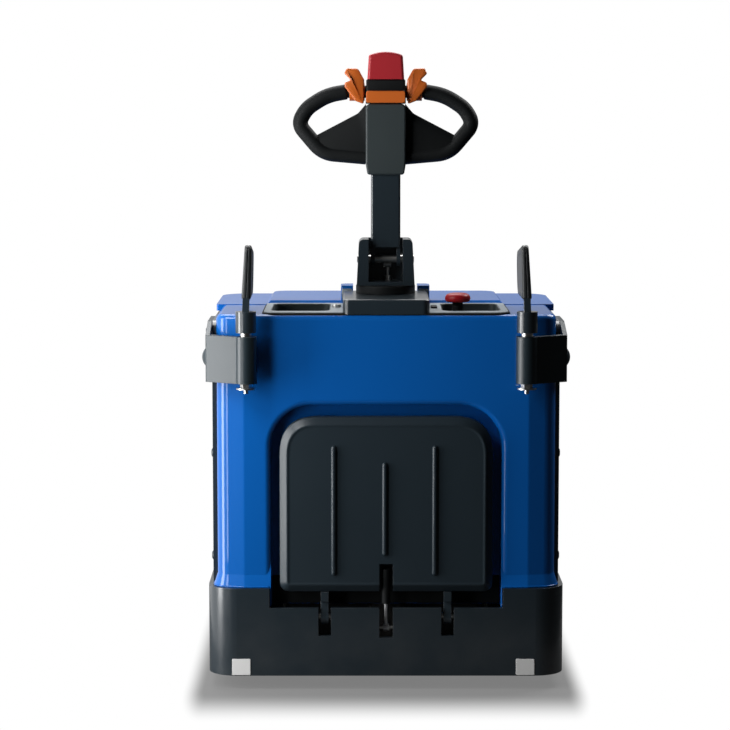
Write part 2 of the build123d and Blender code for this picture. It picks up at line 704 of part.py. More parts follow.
def guard_arm(side):
    """Hub and flat steel stem that carries the pad."""
    x = side * GUARD_X
    hub = rod_z(HUB_RADIUS, x, GUARD_DEPTH, HUB_BOTTOM, HUB_TOP)
    stem = [
        (GUARD_DEPTH - STEM_DEPTH / 2, HUB_TOP - 4),
        (GUARD_DEPTH + STEM_DEPTH / 2, HUB_TOP - 4),
        (GUARD_DEPTH + STEM_DEPTH / 2, STEM_TOP),
        (GUARD_DEPTH - STEM_DEPTH / 2, STEM_TOP),
    ]
    return hub + stowed(across(outline(stem, [0, 0, 10, 10]), x - STEM_HALF, x + STEM_HALF), side)


def guard_pad(side):
    """Guard pad that thins towards its top, stowed forward over the deck."""
    x = side * GUARD_X
    rear = GUARD_DEPTH - HUB_RADIUS
    front = rear + ARM_LENGTH
    points = [(rear, ARM_FLOOR + 12), (front, ARM_FLOOR), (front, ARM_TOP - ARM_DROP), (rear, ARM_TOP)]
    face = outline(points, [8, ARM_CORNER, ARM_CORNER, 16])
    slab = across(face, x - ARM_LOW_HALF, x + ARM_LOW_HALF)
    wedge_points = [
        (x - ARM_LOW_HALF, ARM_FLOOR - 1),
        (x + ARM_LOW_HALF, ARM_FLOOR - 1),
        (x + ARM_TOP_HALF, ARM_TOP + 1),
        (x - ARM_TOP_HALF, ARM_TOP + 1),
    ]
    wedge = inward(outline(wedge_points, [0, 0, 0, 0]), rear - 1, front + 1)
    pad = slab & wedge
    pocket = block(
        x - STEM_HALF - SEAT_GAP,
        x + STEM_HALF + SEAT_GAP,
        GUARD_DEPTH - STEM_DEPTH / 2 - SEAT_GAP,
        GUARD_DEPTH + STEM_DEPTH / 2 + SEAT_GAP,
        ARM_FLOOR - 10,
        STEM_TOP + SEAT_GAP,
    )
    return stowed(pad - pocket, side)


def platform_face(grow):
    """Rear outline of the platform, grown outwards."""
    half = PLATFORM_HALF + grow
    points = [
        (-half, PLATFORM_BOTTOM - grow),
        (half, PLATFORM_BOTTOM - grow),
        (half, PLATFORM_TOP + grow),
        (-half, PLATFORM_TOP + grow),
    ]
    low, top = PLATFORM_LOW_CORNER + grow, PLATFORM_TOP_CORNER + grow
    return outline(points, [low, low, top, top])


def platform_tray():
    """Pressed tray that shows when the platform is up, with three ribs and the strut's slot."""
    inner_face = PLATFORM_REAR + PLATFORM_THICK - STAND_PLATE_THICK - MAT_THICK
    tray = inward(platform_face(0), PLATFORM_REAR, inner_face)
    rear_edges = tray.faces().sort_by(Axis.Y)[0].edges()
    tray = fillet(rear_edges, PLATFORM_EDGE)
    tray -= inward(platform_face(-PLATFORM_WALL), PLATFORM_REAR + PLATFORM_WALL, inner_face + 1)
    for x, low, high in PLATFORM_RIBS:
        tray += rib(x, low, high)
    tray -= block(-STRUT_SLOT_HALF, STRUT_SLOT_HALF, 0, PLATFORM_REAR + PLATFORM_WALL + 8,
                  PLATFORM_BOTTOM - 1, STRUT_SLOT_TOP)
    tray -= block(-STRUT_SLOT_HALF, STRUT_SLOT_HALF, 0, inner_face + 1,
                  PLATFORM_BOTTOM - 1, PLATFORM_BOTTOM + PLATFORM_EDGE + PLATFORM_WALL)
    return tray


def rib(x, low, high):
    """One half-round rib pressed out of the tray's face."""
    bar = rod_z(RIB_RADIUS, x, PLATFORM_REAR + RIB_SINK, low, high)
    bar += Pos(x, PLATFORM_REAR + RIB_SINK, low) * Sphere(RIB_RADIUS)
    bar += Pos(x, PLATFORM_REAR + RIB_SINK, high) * Sphere(RIB_RADIUS)
    return bar


def platform_deck():
    """Standing plate on the tray's inner side."""
    inner_face = PLATFORM_REAR + PLATFORM_THICK - STAND_PLATE_THICK - MAT_THICK
    return inward(platform_face(0), inner_face, inner_face + STAND_PLATE_THICK)


def platform_mat():
    """Ribbed rubber mat on the standing plate."""
    rear = PLATFORM_REAR + PLATFORM_THICK - MAT_THICK
    return inward(platform_face(-10), rear, rear + MAT_THICK)


def platform_arms():
    """Two hinge arms from the platform's lower edge to the hinge pins."""
    arms = []
    inner_face = PLATFORM_REAR + PLATFORM_THICK - STAND_PLATE_THICK - MAT_THICK
    shape = link(HINGE_DEPTH, HINGE_Z, HINGE_DEPTH - 12, PLATFORM_BOTTOM - 12, HINGE_EYE_RADIUS - 1)
    for side in SIDES.values():
        x = side * HINGE_X
        arm = across(shape, x - HINGE_ARM_WIDTH / 2, x + HINGE_ARM_WIDTH / 2)
        arm += block(x - HINGE_ARM_WIDTH / 2, x + HINGE_ARM_WIDTH / 2, PLATFORM_REAR + 4, inner_face,
                     PLATFORM_BOTTOM - 20, PLATFORM_BOTTOM)
        arm -= block(x - HINGE_ARM_WIDTH, x + HINGE_ARM_WIDTH, 0, COVER_REAR + RECESS_DEPTH,
                     PLATFORM_BOTTOM, PLATFORM_TOP)
        arm -= rod_x(HINGE_PIN_RADIUS + PIN_GAP, x - HINGE_ARM_WIDTH, x + HINGE_ARM_WIDTH,
                     HINGE_DEPTH, HINGE_Z)
        arms.append(arm)
    return Compound(children=arms)


def strut_line():
    """Unit direction of the gas strut from its lower pin to its upper pin."""
    line = Vector(0, STRUT_TOP_DEPTH - STRUT_LOW_DEPTH, STRUT_TOP_Z - STRUT_LOW_Z)
    return line, line.normalized()


def strut_bar(radius, start, end):
    """Round bar along the strut between two distances from its lower pin."""
    line, along = strut_line()
    base = Vector(0, STRUT_LOW_DEPTH, STRUT_LOW_Z) + along * start
    return extrude(Plane(base, z_dir=along) * Circle(radius), amount=end - start)


def strut_rod():
    """Bright rod of the gas strut with its lower eye."""
    eye = rod_x(STRUT_EYE_RADIUS, -6, 6, STRUT_LOW_DEPTH, STRUT_LOW_Z)
    eye -= rod_x(STRUT_PIN_RADIUS + PIN_GAP, -7, 7, STRUT_LOW_DEPTH, STRUT_LOW_Z)
    return eye + strut_bar(STRUT_ROD_RADIUS, STRUT_EYE_RADIUS - 1, STRUT_ROD_END)


def strut_body():
    """Dark tube of the gas strut, which slides over the rod."""
    length = strut_line()[0].length
    tube = strut_bar(STRUT_BODY_RADIUS, STRUT_BODY_START, length - 4)
    return tube - strut_bar(STRUT_ROD_RADIUS + PIN_GAP, STRUT_BODY_START - 1, length - 14)


def steer_ring():
    """Turning ring on top of the tiller block."""
    ring = rod_z(RING_RADIUS, 0, STEER_DEPTH, BLOCK_TOP + SEAT_GAP, BLOCK_TOP + RING_HEIGHT)
    return fillet(ring.faces().sort_by(Axis.Z)[-1].edges(), 3)


def tiller_yoke():
    """Two tapered cheeks joined by a floor and a front wall; the tiller pivots between them."""
    floor_z = BLOCK_TOP + RING_HEIGHT
    cheeks = [
        (-YOKE_BOTTOM_HALF, floor_z),
        (YOKE_BOTTOM_HALF, floor_z),
        (YOKE_TOP_HALF, YOKE_TOP),
        (-YOKE_TOP_HALF, YOKE_TOP),
    ]
    rear = STEER_DEPTH - YOKE_DEPTH / 2
    body = inward(outline(cheeks, [0, 0, 10, 10]), rear, rear + YOKE_DEPTH)
    inner = YOKE_TOP_HALF - YOKE_CHEEK
    body -= block(-inner, inner, rear - 1, rear + YOKE_DEPTH - YOKE_WALL,
                  floor_z + YOKE_FLOOR, YOKE_TOP + 1)
    pin_hole = rod_x(TILT_PIN_RADIUS, -YOKE_BOTTOM_HALF, YOKE_BOTTOM_HALF, STEER_DEPTH, TILT_Z)
    return body - pin_hole


def tilt_pin():
    """Pin that the tiller tilts on."""
    reach = YOKE_BOTTOM_HALF - 1
    return rod_x(TILT_PIN_RADIUS - 0.01, -reach, reach, STEER_DEPTH, TILT_Z)


def tilt_spring():
    """Return spring's rod and eye, standing on the yoke's floor below the tilt pin."""
    floor_z = BLOCK_TOP + RING_HEIGHT + YOKE_FLOOR
    depth = STEER_DEPTH + SPRING_OFFSET
    rod = rod_z(SPRING_ROD_RADIUS, SPRING_X, depth, floor_z, TILT_Z - 12)
    rod += rod_z(2 * SPRING_ROD_RADIUS, SPRING_X, depth, floor_z, floor_z + 10)
    return rod + rod_x(2 * SPRING_ROD_RADIUS, SPRING_X - 8, SPRING_X + 8, depth, TILT_Z - 12)


def steering_column():
    """Column from the drive unit up to the ring."""
    return rod_z(COLUMN_RADIUS, 0, STEER_DEPTH, MOTOR_TOP, BLOCK_TOP + SEAT_GAP)


def drive_unit():
    """Turntable, neck and gear case that hold the drive wheel."""
    under = DRIVE_PLATE_Z - SEAT_GAP
    unit = rod_z(TURNTABLE_RADIUS, 0, STEER_DEPTH, under - TURNTABLE_THICK, under)
    unit += rod_z(NECK_RADIUS, 0, STEER_DEPTH, under, DRIVE_PLATE_Z + DRIVE_PLATE_THICK + SEAT_GAP)
    case_top = under - TURNTABLE_THICK - GEARCASE_RADIUS / 2
    case = link(STEER_DEPTH, DRIVE_RADIUS, STEER_DEPTH, case_top, GEARCASE_RADIUS)
    case = across(case, GEARCASE_X, GEARCASE_X + GEARCASE_WALL)
    unit += case - block(0, SKIRT_HALF, 0, SKIRT_FRONT, under, COVER_TOP)
    unit += rod_x(DRIVE_AXLE_RADIUS, -DRIVE_WIDTH / 2 + 6, GEARCASE_X, STEER_DEPTH, DRIVE_RADIUS)
    return unit


def drive_motor():
    """Upright drive motor on the turntable."""
    bottom = DRIVE_PLATE_Z + DRIVE_PLATE_THICK + SEAT_GAP
    motor = rod_z(MOTOR_RADIUS, 0, STEER_DEPTH, bottom, MOTOR_TOP)
    return fillet(motor.faces().sort_by(Axis.Z)[-1].edges(), 10)


def drive_tyre():
    """Solid tyre of the drive wheel."""
    return wheel_x(0, STEER_DEPTH, DRIVE_RADIUS, DRIVE_WIDTH, DRIVE_RIM_RADIUS, 7)


def drive_rim():
    """Cast rim with a dished web."""
    half = DRIVE_WIDTH / 2
    rim = rod_x(DRIVE_RIM_RADIUS, -half, half, STEER_DEPTH, DRIVE_RADIUS)
    for end in (-1, 1):
        x0, x1 = sorted((end * 14, end * (half + 1)))
        dish = rod_x(DRIVE_RIM_RADIUS - 12, x0, x1, STEER_DEPTH, DRIVE_RADIUS)
        rim -= dish - rod_x(DRIVE_HUB_RADIUS, x0, x1, STEER_DEPTH, DRIVE_RADIUS)
    return rim - rod_x(DRIVE_AXLE_RADIUS + PIN_GAP, -half - 1, half + 1, STEER_DEPTH, DRIVE_RADIUS)


def tiller_tube():
    """Square tiller tube with two lugs down to the tilt pin."""
    rear = STEER_DEPTH - TUBE_DEPTH / 2
    tube = block(-TUBE_HALF, TUBE_HALF, rear, rear + TUBE_DEPTH, TUBE_BOTTOM, TUBE_TOP)
    tube = fillet(tube.edges().filter_by(Axis.Z), 5)
    lug = link(STEER_DEPTH, TILT_Z, STEER_DEPTH, TUBE_BOTTOM + 10, 16)
    for side in SIDES.values():
        x0, x1 = sorted((side * (TUBE_HALF - 8), side * TUBE_HALF))
        tube += across(lug, x0, x1)
    return tube - rod_x(TILT_PIN_RADIUS + PIN_GAP, -TUBE_HALF - 1, TUBE_HALF + 1, STEER_DEPTH, TILT_Z)


def tiller_head():
    """Central head housing, narrowed where it grips the tube."""
    shoulder = HEAD_BOTTOM + HEAD_NECK_HEIGHT
    points = [
        (-HEAD_NECK_HALF, HEAD_BOTTOM),
        (HEAD_NECK_HALF, HEAD_BOTTOM),
        (HEAD_HALF, shoulder),
        (HEAD_HALF, HEAD_TOP),
        (-HEAD_HALF, HEAD_TOP),
        (-HEAD_HALF, shoulder),
    ]
    rear = STEER_DEPTH - HEAD_DEPTH / 2
    head = inward(outline(points, [6, 6, 24, 10, 10, 24]), rear, rear + HEAD_DEPTH)
    head = fillet(head.faces().sort_by(Axis.Y)[0].edges(), 4)
    tube_rear = STEER_DEPTH - TUBE_DEPTH / 2
    return head - block(-TUBE_HALF, TUBE_HALF, tube_rear, tube_rear + TUBE_DEPTH, 0, TUBE_TOP)


def head_face(rows, side):
    """Rear outline from rows of x, z from the head's top and corner radius, on one side."""
    points = [(side * x, HEAD_TOP + z) for x, z, _ in rows]
    return outline(points, [radius for _, _, radius in rows])


def handle_loop(side):
    """Grip loop and its wing on one side of the head."""
    points = [(side * x, STEER_DEPTH, HEAD_TOP + z) for x, z in HANDLE_POINTS]
    path = FilletPolyline(*points, radius=HANDLE_BENDS)
    start = Plane(path @ 0, z_dir=path % 0)
    grip = sweep(start * Circle(HANDLE_RADIUS), path=path)
    wing = inward(head_face(WING_POINTS, side), STEER_DEPTH - WING_HALF, STEER_DEPTH + WING_HALF)
    return grip + wing


def tiller_handles():
    """Both grip loops, joined through the control housing above the head."""
    rear = STEER_DEPTH - HEAD_DEPTH / 2
    housing = block(-HEAD_HALF, HEAD_HALF, rear + 4, rear + HEAD_DEPTH, HEAD_TOP, BUTTON_BOTTOM)
    reach = HANDLE_POINTS[0][0] + 6
    neck = rod_x(NECK_BAR_RADIUS, -reach, reach, STEER_DEPTH, HEAD_TOP + HANDLE_POINTS[0][1])
    body = housing + neck
    for side in SIDES.values():
        body += handle_loop(side)
    return body - block(-HEAD_HALF, HEAD_HALF, 0, SKIRT_FRONT, HEAD_BOTTOM, HEAD_TOP)


def belly_button():
    """Reversing button on top of the head, crowned and slightly narrower towards its top."""
    rear = STEER_DEPTH - HEAD_DEPTH / 2 - 2
    front = STEER_DEPTH + HEAD_DEPTH / 2
    crown = BUTTON_TOP - BUTTON_CROWN
    base = make_face(
        Polyline((-BUTTON_HALF + 3, crown), (-BUTTON_HALF, BUTTON_BOTTOM), (BUTTON_HALF, BUTTON_BOTTOM),
                 (BUTTON_HALF - 3, crown))
        + ThreePointArc((BUTTON_HALF - 3, crown), (0, BUTTON_TOP), (-BUTTON_HALF + 3, crown))
    )
    button = inward(base, rear, front)
    upper = button.edges().filter_by(lambda edge: edge.center().Z > BUTTON_BOTTOM + 5)
    return fillet(upper, 6)


def throttles():
    """Butterfly throttles round the handle's neck and the bar across the housing's rear face."""
    rear = STEER_DEPTH - HEAD_DEPTH / 2
    pieces = [block(-HEAD_HALF + 1, HEAD_HALF - 1, rear - 4, rear + 4, BAR_BOTTOM, BAR_TOP)]
    neck_z = HEAD_TOP + HANDLE_POINTS[0][1]
    leaf_front = STEER_DEPTH - HANDLE_RADIUS - THROTTLE_GAP
    for side in SIDES.values():
        x0, x1 = sorted((side * (HEAD_HALF + THROTTLE_GAP), side * THROTTLE_REACH))
        leaf = inward(head_face(LEAF_POINTS, side), leaf_front - THROTTLE_THICK, leaf_front)
        leaf += rod_x(NECK_BAR_RADIUS + THROTTLE_WALL, x0, x1, STEER_DEPTH, neck_z)
        pieces.append(leaf - rod_x(NECK_BAR_RADIUS + PIN_GAP, x0 - 1, x1 + 1, STEER_DEPTH, neck_z))
    return Compound(children=pieces)


def caster_fork(side):
    """Swivel fork of one stabiliser caster, trailing towards the fork tips."""
    x = side * CASTER_X
    cheek_in = CASTER_WIDTH / 2 + 3
    axle_depth = CASTER_DEPTH + CASTER_TRAIL
    head = CASTER_TOP - 10 - SEAT_GAP
    fork = rod_z(40, x, CASTER_DEPTH, head - 10, head)
    for edge in (-1, 1):
        x0, x1 = sorted((x + edge * cheek_in, x + edge * (cheek_in + CASTER_CHEEK)))
        cheek = [
            (CASTER_DEPTH - 26, head - 4),
            (CASTER_DEPTH + 34, head - 4),
            (axle_depth + 14, CASTER_RADIUS - 10),
            (axle_depth - 14, CASTER_RADIUS - 10),
        ]
        fork += across(outline(cheek, [0, 0, 10, 10]), x0, x1)
    reach = cheek_in + CASTER_CHEEK
    fork += rod_x(CASTER_AXLE_RADIUS, x - reach - 2, x + reach + 2, axle_depth, CASTER_RADIUS)
    return fork


def caster_mount(side):
    """Square top plate of one caster, bolted under the base plate."""
    x = side * CASTER_X
    half = CASTER_PLATE / 2
    return block(x - half, x + half, CASTER_DEPTH - half, CASTER_DEPTH + half,
                 CASTER_TOP - 10, CASTER_TOP)


def caster_wheel(side):
    """Wheel of one stabiliser caster."""
    x = side * CASTER_X
    depth = CASTER_DEPTH + CASTER_TRAIL
    return wheel_x(x, depth, CASTER_RADIUS, CASTER_WIDTH, CASTER_AXLE_RADIUS + PIN_GAP, 8)


def box_plan(wall):
    """Plan outline of the battery box, cut inwards by a wall, with rounded front corners."""
    half, corner = BOX_HALF - wall, BOX_CORNER - wall
    points = [
        (-half, BOX_FRONT - wall),
        (-half, BOX_REAR + wall),
        (half, BOX_REAR + wall),
        (half, BOX_FRONT - wall),
    ]
    return outline(points, [corner, 0, 0, corner])


def battery_box():
    """Open-topped steel battery box on the fork frame."""
    box = upright(box_plan(0), BOX_BOTTOM, BOX_TOP)
    return box - upright(box_plan(BOX_WALL), BOX_BOTTOM + BOX_WALL, BOX_TOP + 1)


def battery():
    """Traction battery, one plain block."""
    gap = BOX_WALL + 12
    return block(-BOX_HALF + gap, BOX_HALF - gap, BOX_REAR + gap, BOX_FRONT - gap,
                 BOX_BOTTOM + BOX_WALL + SEAT_GAP, BOX_TOP - BATTERY_HEADROOM)


def battery_lid():
    """Lid over the battery: a raised middle on the dash's line, with a step behind the tiller."""
    front = BOX_FRONT + LID_OVERHANG
    plan = [(-LID_HALF, front), (-LID_HALF, LID_REAR), (LID_HALF, LID_REAR), (LID_HALF, front)]
    lid = upright(outline(plan, [LID_CORNER, 4, 4, LID_CORNER]), BOX_TOP + SEAT_GAP, LID_TOP)
    hump_front = front - HUMP_FRONT_GAP
    hump_plan = [
        (-HUMP_HALF, hump_front),
        (-HUMP_HALF, LID_REAR),
        (HUMP_HALF, LID_REAR),
        (HUMP_HALF, hump_front),
    ]
    hump_top = LID_TOP + HUMP_RISE
    lid += extrude(Pos(0, 0, LID_TOP) * outline(hump_plan, [40, 4, 4, 40]), amount=HUMP_RISE, taper=45)
    step_plan = [
        (-STEP_HALF, STEP_FRONT),
        (-STEP_HALF, LID_REAR),
        (STEP_HALF, LID_REAR),
        (STEP_HALF, STEP_FRONT),
    ]
    lid += upright(outline(step_plan, [16, 4, 4, 16]), LID_TOP, LID_TOP + STEP_RISE)
    return lid - block(-STEP_SLOT_HALF, STEP_SLOT_HALF, LID_REAR - 1, STEP_FRONT + 1,
                       hump_top, LID_TOP + STEP_RISE + 1)


def fork_frame():
    """Heel plate with gusseted shoes for the forks, and the underframe below the battery box."""
    heel_front = HEEL_REAR + HEEL_THICK
    frame = block(-HEEL_HALF, HEEL_HALF, HEEL_REAR, heel_front, FORK_BOTTOM, HEEL_TOP)
    under = block(-UNDERFRAME_HALF, UNDERFRAME_HALF, BOX_REAR, HEEL_REAR, FORK_BOTTOM, BOX_BOTTOM)
    inner = UNDERFRAME_HALF - UNDERFRAME_WALL
    under -= block(-inner, inner, BOX_REAR + UNDERFRAME_WALL, HEEL_REAR, 0, BOX_BOTTOM - UNDERFRAME_WALL)
    frame += under
    gusset = [
        (heel_front, FORK_TOP),
        (heel_front + HEEL_SHOE, FORK_TOP),
        (heel_front, FORK_TOP + GUSSET_HEIGHT),
    ]
    for side in SIDES.values():
        x = side * FORK_X
        shoe = block(x - FORK_WIDTH / 2, x + FORK_WIDTH / 2, heel_front, heel_front + HEEL_SHOE,
                     FORK_BOTTOM, FORK_TOP)
        frame += shoe - block(x - FORK_INNER_HALF, x + FORK_INNER_HALF,
                              heel_front, heel_front + HEEL_SHOE + 1, 0, FORK_TOP - FORK_WALL)
        for edge in (-1, 1):
            middle = x + edge * (FORK_WIDTH / 2 - FORK_WALL)
            frame += across(outline(gusset, [0, 0, 0]), middle - GUSSET_HALF, middle + GUSSET_HALF)
        frame -= rod_y(ROD_RADIUS + PIN_GAP, x, HEEL_REAR - UNDERFRAME_WALL, heel_front + 1,
                       ARM_PIVOT_Z - LUG_DROP)
    return frame


def slide_pads():
    """Wear pads on the battery box that run along the chassis side plates."""
    pads = []
    for side in SIDES.values():
        x0, x1 = sorted((side * BOX_HALF, side * (SIDE_PLATE_IN - SEAT_GAP)))
        for low, high in PAD_SPANS:
            pads.append(block(x0, x1, PAD_REAR, PAD_REAR + PAD_WIDTH, low, high))
    return Compound(children=pads)


def fork(side):
    """One fork: an inverted channel with a tapered tip and a window over the load wheel."""
    x = side * FORK_X
    heel_end = HEEL_REAR + HEEL_THICK + HEEL_SHOE
    half = FORK_WIDTH / 2
    tip_half = half - 38
    plan = [
        (x - half, heel_end),
        (x + half, heel_end),
        (x + half, FORK_TIP - FORK_TAPER),
        (x + tip_half, FORK_TIP),
        (x - tip_half, FORK_TIP),
        (x - half, FORK_TIP - FORK_TAPER),
    ]
    radii = [0, 0, FORK_SHOULDER, FORK_NOSE, FORK_NOSE, FORK_SHOULDER]
    body = upright(outline(plan, radii), FORK_BOTTOM, FORK_TOP)
    hollow_end = FORK_TIP - FORK_TAPER / 2
    body -= block(x - FORK_INNER_HALF, x + FORK_INNER_HALF, heel_end - 1, FORK_TIP - FORK_TAPER,
                  0, FORK_TOP - FORK_WALL)
    body -= block(x - tip_half, x + tip_half, FORK_TIP - FORK_TAPER - 1, hollow_end,
                  0, FORK_TOP - FORK_WALL)
    window = ROLLER_WIDTH / 2 + ARM_CHEEK + 8
    body -= block(x - window, x + window, ROLLER_DEPTH - 56, ROLLER_DEPTH + 56, 0, FORK_TOP + 1)
    body += rod_x(ARM_PIVOT_RADIUS, x - half + 1, x + half - 1, ARM_PIVOT_DEPTH, ARM_PIVOT_Z)
    return body


def load_arm(side):
    """Swinging arm that carries one load wheel."""
    x = side * FORK_X
    cheek = link(ARM_PIVOT_DEPTH, ARM_PIVOT_Z, ROLLER_DEPTH, ROLLER_RADIUS, ARM_EYE_RADIUS)
    inner = ROLLER_WIDTH / 2 + 2
    arm = rod_x(ARM_EYE_RADIUS, x - inner, x + inner, ARM_PIVOT_DEPTH, ARM_PIVOT_Z)
    for edge in (-1, 1):
        x0, x1 = sorted((x + edge * inner, x + edge * (inner + ARM_CHEEK)))
        arm += across(cheek, x0, x1)
    lug = link(ARM_PIVOT_DEPTH, ARM_PIVOT_Z, ARM_PIVOT_DEPTH, ARM_PIVOT_Z - LUG_DROP, 9)
    arm += across(lug, x - LUG_HALF, x + LUG_HALF)
    arm -= rod_x(ARM_PIVOT_RADIUS + PIN_GAP, x - FORK_WIDTH, x + FORK_WIDTH,
                 ARM_PIVOT_DEPTH, ARM_PIVOT_Z)
    reach = inner + ARM_CHEEK
    return arm + rod_x(ROLLER_AXLE_RADIUS, x - reach, x + reach, ROLLER_DEPTH, ROLLER_RADIUS)


def load_roller(side):
    """Load wheel in its arm."""
    x = side * FORK_X
    return wheel_x(x, ROLLER_DEPTH, ROLLER_RADIUS, ROLLER_WIDTH, ROLLER_AXLE_RADIUS + PIN_GAP, 5)


def push_rods():
    """Pull rods under the forks, each with a clevis at its load arm's lug."""
    rods = []
    z = ARM_PIVOT_Z - LUG_DROP
    for side in SIDES.values():
        x = side * FORK_X
        clevis_rear = ARM_PIVOT_DEPTH - CLEVIS_LENGTH
        rod = rod_y(ROD_RADIUS, x, ROD_REAR, clevis_rear, z)
        rod += block(x - 16, x + 16, clevis_rear, clevis_rear + 24, z - 7, z + 7)
        for edge in (-1, 1):
            x0, x1 = sorted((x + edge * 8, x + edge * 16))
            rod += block(x0, x1, clevis_rear, ARM_PIVOT_DEPTH + 10,
                         z - 7, ARM_PIVOT_Z - ARM_EYE_RADIUS - PIN_GAP)
        rods.append(rod)
    return Compound(children=rods)


def build():
    """Makes every piece and returns it by node name."""
    pieces = {
        "chassis_frame": chassis_frame(),
        "hinge_pins": hinge_pins(),
        "drive_cover": drive_cover(),
        "dash_panel": dash_panel(),
        "tiller_block": tiller_block(),
        "emergency_stop": emergency_stop(),
        "key_switch": key_switch(),
        "platform_tray": platform_tray(),
        "platform_deck": platform_deck(),
        "platform_mat": platform_mat(),
        "platform_arms": platform_arms(),
        "strut_rod": strut_rod(),
        "strut_body": strut_body(),
        "steer_ring": steer_ring(),
        "tiller_yoke": tiller_yoke(),
        "tilt_pin": tilt_pin(),
        "tilt_spring": tilt_spring(),
        "steering_column": steering_column(),
        "drive_unit": drive_unit(),
        "drive_motor": drive_motor(),
        "drive_tyre": drive_tyre(),
        "drive_rim": drive_rim(),
        "tiller_tube": tiller_tube(),
        "tiller_head": tiller_head(),
        "tiller_handles": tiller_handles(),
        "belly_button": belly_button(),
        "throttles": throttles(),
        "battery_box": battery_box(),
        "battery": battery(),
        "battery_lid": battery_lid(),
        "fork_frame": fork_frame(),
        "push_rods": push_rods(),
        "slide_pads": slide_pads(),
    }
    for name, side in SIDES.items():
        pieces[f"guard_bracket_{name}"] = guard_bracket(side)
        pieces[f"guard_pin_{name}"] = guard_pin(side)
        pieces[f"guard_arm_{name}"] = guard_arm(side)
        pieces[f"guard_pad_{name}"] = guard_pad(side)
        pieces[f"caster_mount_{name}"] = caster_mount(side)
        pieces[f"caster_fork_{name}"] = caster_fork(side)
        pieces[f"caster_wheel_{name}"] = caster_wheel(side)
        pieces[f"fork_{name}"] = fork(side)
        pieces[f"load_arm_{name}"] = load_arm(side)
        pieces[f"load_roller_{name}"] = load_roller(side)
    return pieces


def main():
    """Writes one STEP file for each node."""
    os.makedirs("parts", exist_ok=True)
    for name, shape in build().items():
        export_step(place(shape), f"parts/{name}.step")


if __name__ == "__main__":
    main()
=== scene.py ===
"""Looks of a ride-on electric pallet truck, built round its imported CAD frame.

Each sub-assembly is a class that adds the pieces the solids leave plain and dresses the solids
with procedural finishes. Everything is in metres in the frame of the CAD part: +X right seen from
the operator's end, +Y towards the fork tips, +Z up.
"""
from __future__ import annotations

import json
import logging
import math
from collections.abc import Sequence
from dataclasses import dataclass
from enum import Enum

import bmesh
import bpy
from mathutils import Euler, Matrix, Vector

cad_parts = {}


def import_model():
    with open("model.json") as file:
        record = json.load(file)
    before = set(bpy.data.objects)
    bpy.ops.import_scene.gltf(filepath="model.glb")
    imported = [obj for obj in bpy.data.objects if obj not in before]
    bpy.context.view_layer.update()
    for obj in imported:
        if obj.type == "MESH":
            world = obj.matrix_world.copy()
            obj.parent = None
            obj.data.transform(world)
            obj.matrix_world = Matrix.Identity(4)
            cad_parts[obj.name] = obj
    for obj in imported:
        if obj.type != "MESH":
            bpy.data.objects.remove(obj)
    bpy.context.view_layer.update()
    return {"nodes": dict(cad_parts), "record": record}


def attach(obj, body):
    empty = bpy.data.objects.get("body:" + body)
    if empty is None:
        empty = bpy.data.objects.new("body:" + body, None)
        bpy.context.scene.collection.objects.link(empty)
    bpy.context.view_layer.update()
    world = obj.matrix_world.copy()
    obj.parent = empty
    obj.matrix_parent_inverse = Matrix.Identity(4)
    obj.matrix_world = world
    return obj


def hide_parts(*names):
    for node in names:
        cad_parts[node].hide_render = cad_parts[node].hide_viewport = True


LOG = logging.getLogger("pallet_truck")
PHOTO_PIXELS = 730

Colour = tuple[float, float, float]
Triple = tuple[float, float, float]
Pair = tuple[float, float]
Triples = tuple[Triple, ...]
Pairs = tuple[Pair, ...]

SIDES = {"left": -1, "right": 1}
# Depths run from the skirt's rear face, which is this far behind the frame's origin
DEPTH_ORIGIN = 0.839
# Y of the tiller's neck bar, height of the tiller head's top, and the bar's height above that top
NECK_DEPTH = 0.2 - DEPTH_ORIGIN
HEAD_TOP = 1.208
NECK_RISE = 0.025
# Smallest radius of an outline's corner that is cut inwards
LEAST_RADIUS = 0.004
# Points closer than this are one point
SAME_POINT = 1e-6
BEVEL_SAMPLES = 4
WHITE = (1.0, 1.0, 1.0)


class Bodies(Enum):
    """Rigid bodies of the truck that added pieces ride on."""

    CHASSIS = "chassis"
    TILLER = "tiller"
    PLATFORM = "platform"
    LIFT = "lift_frame"


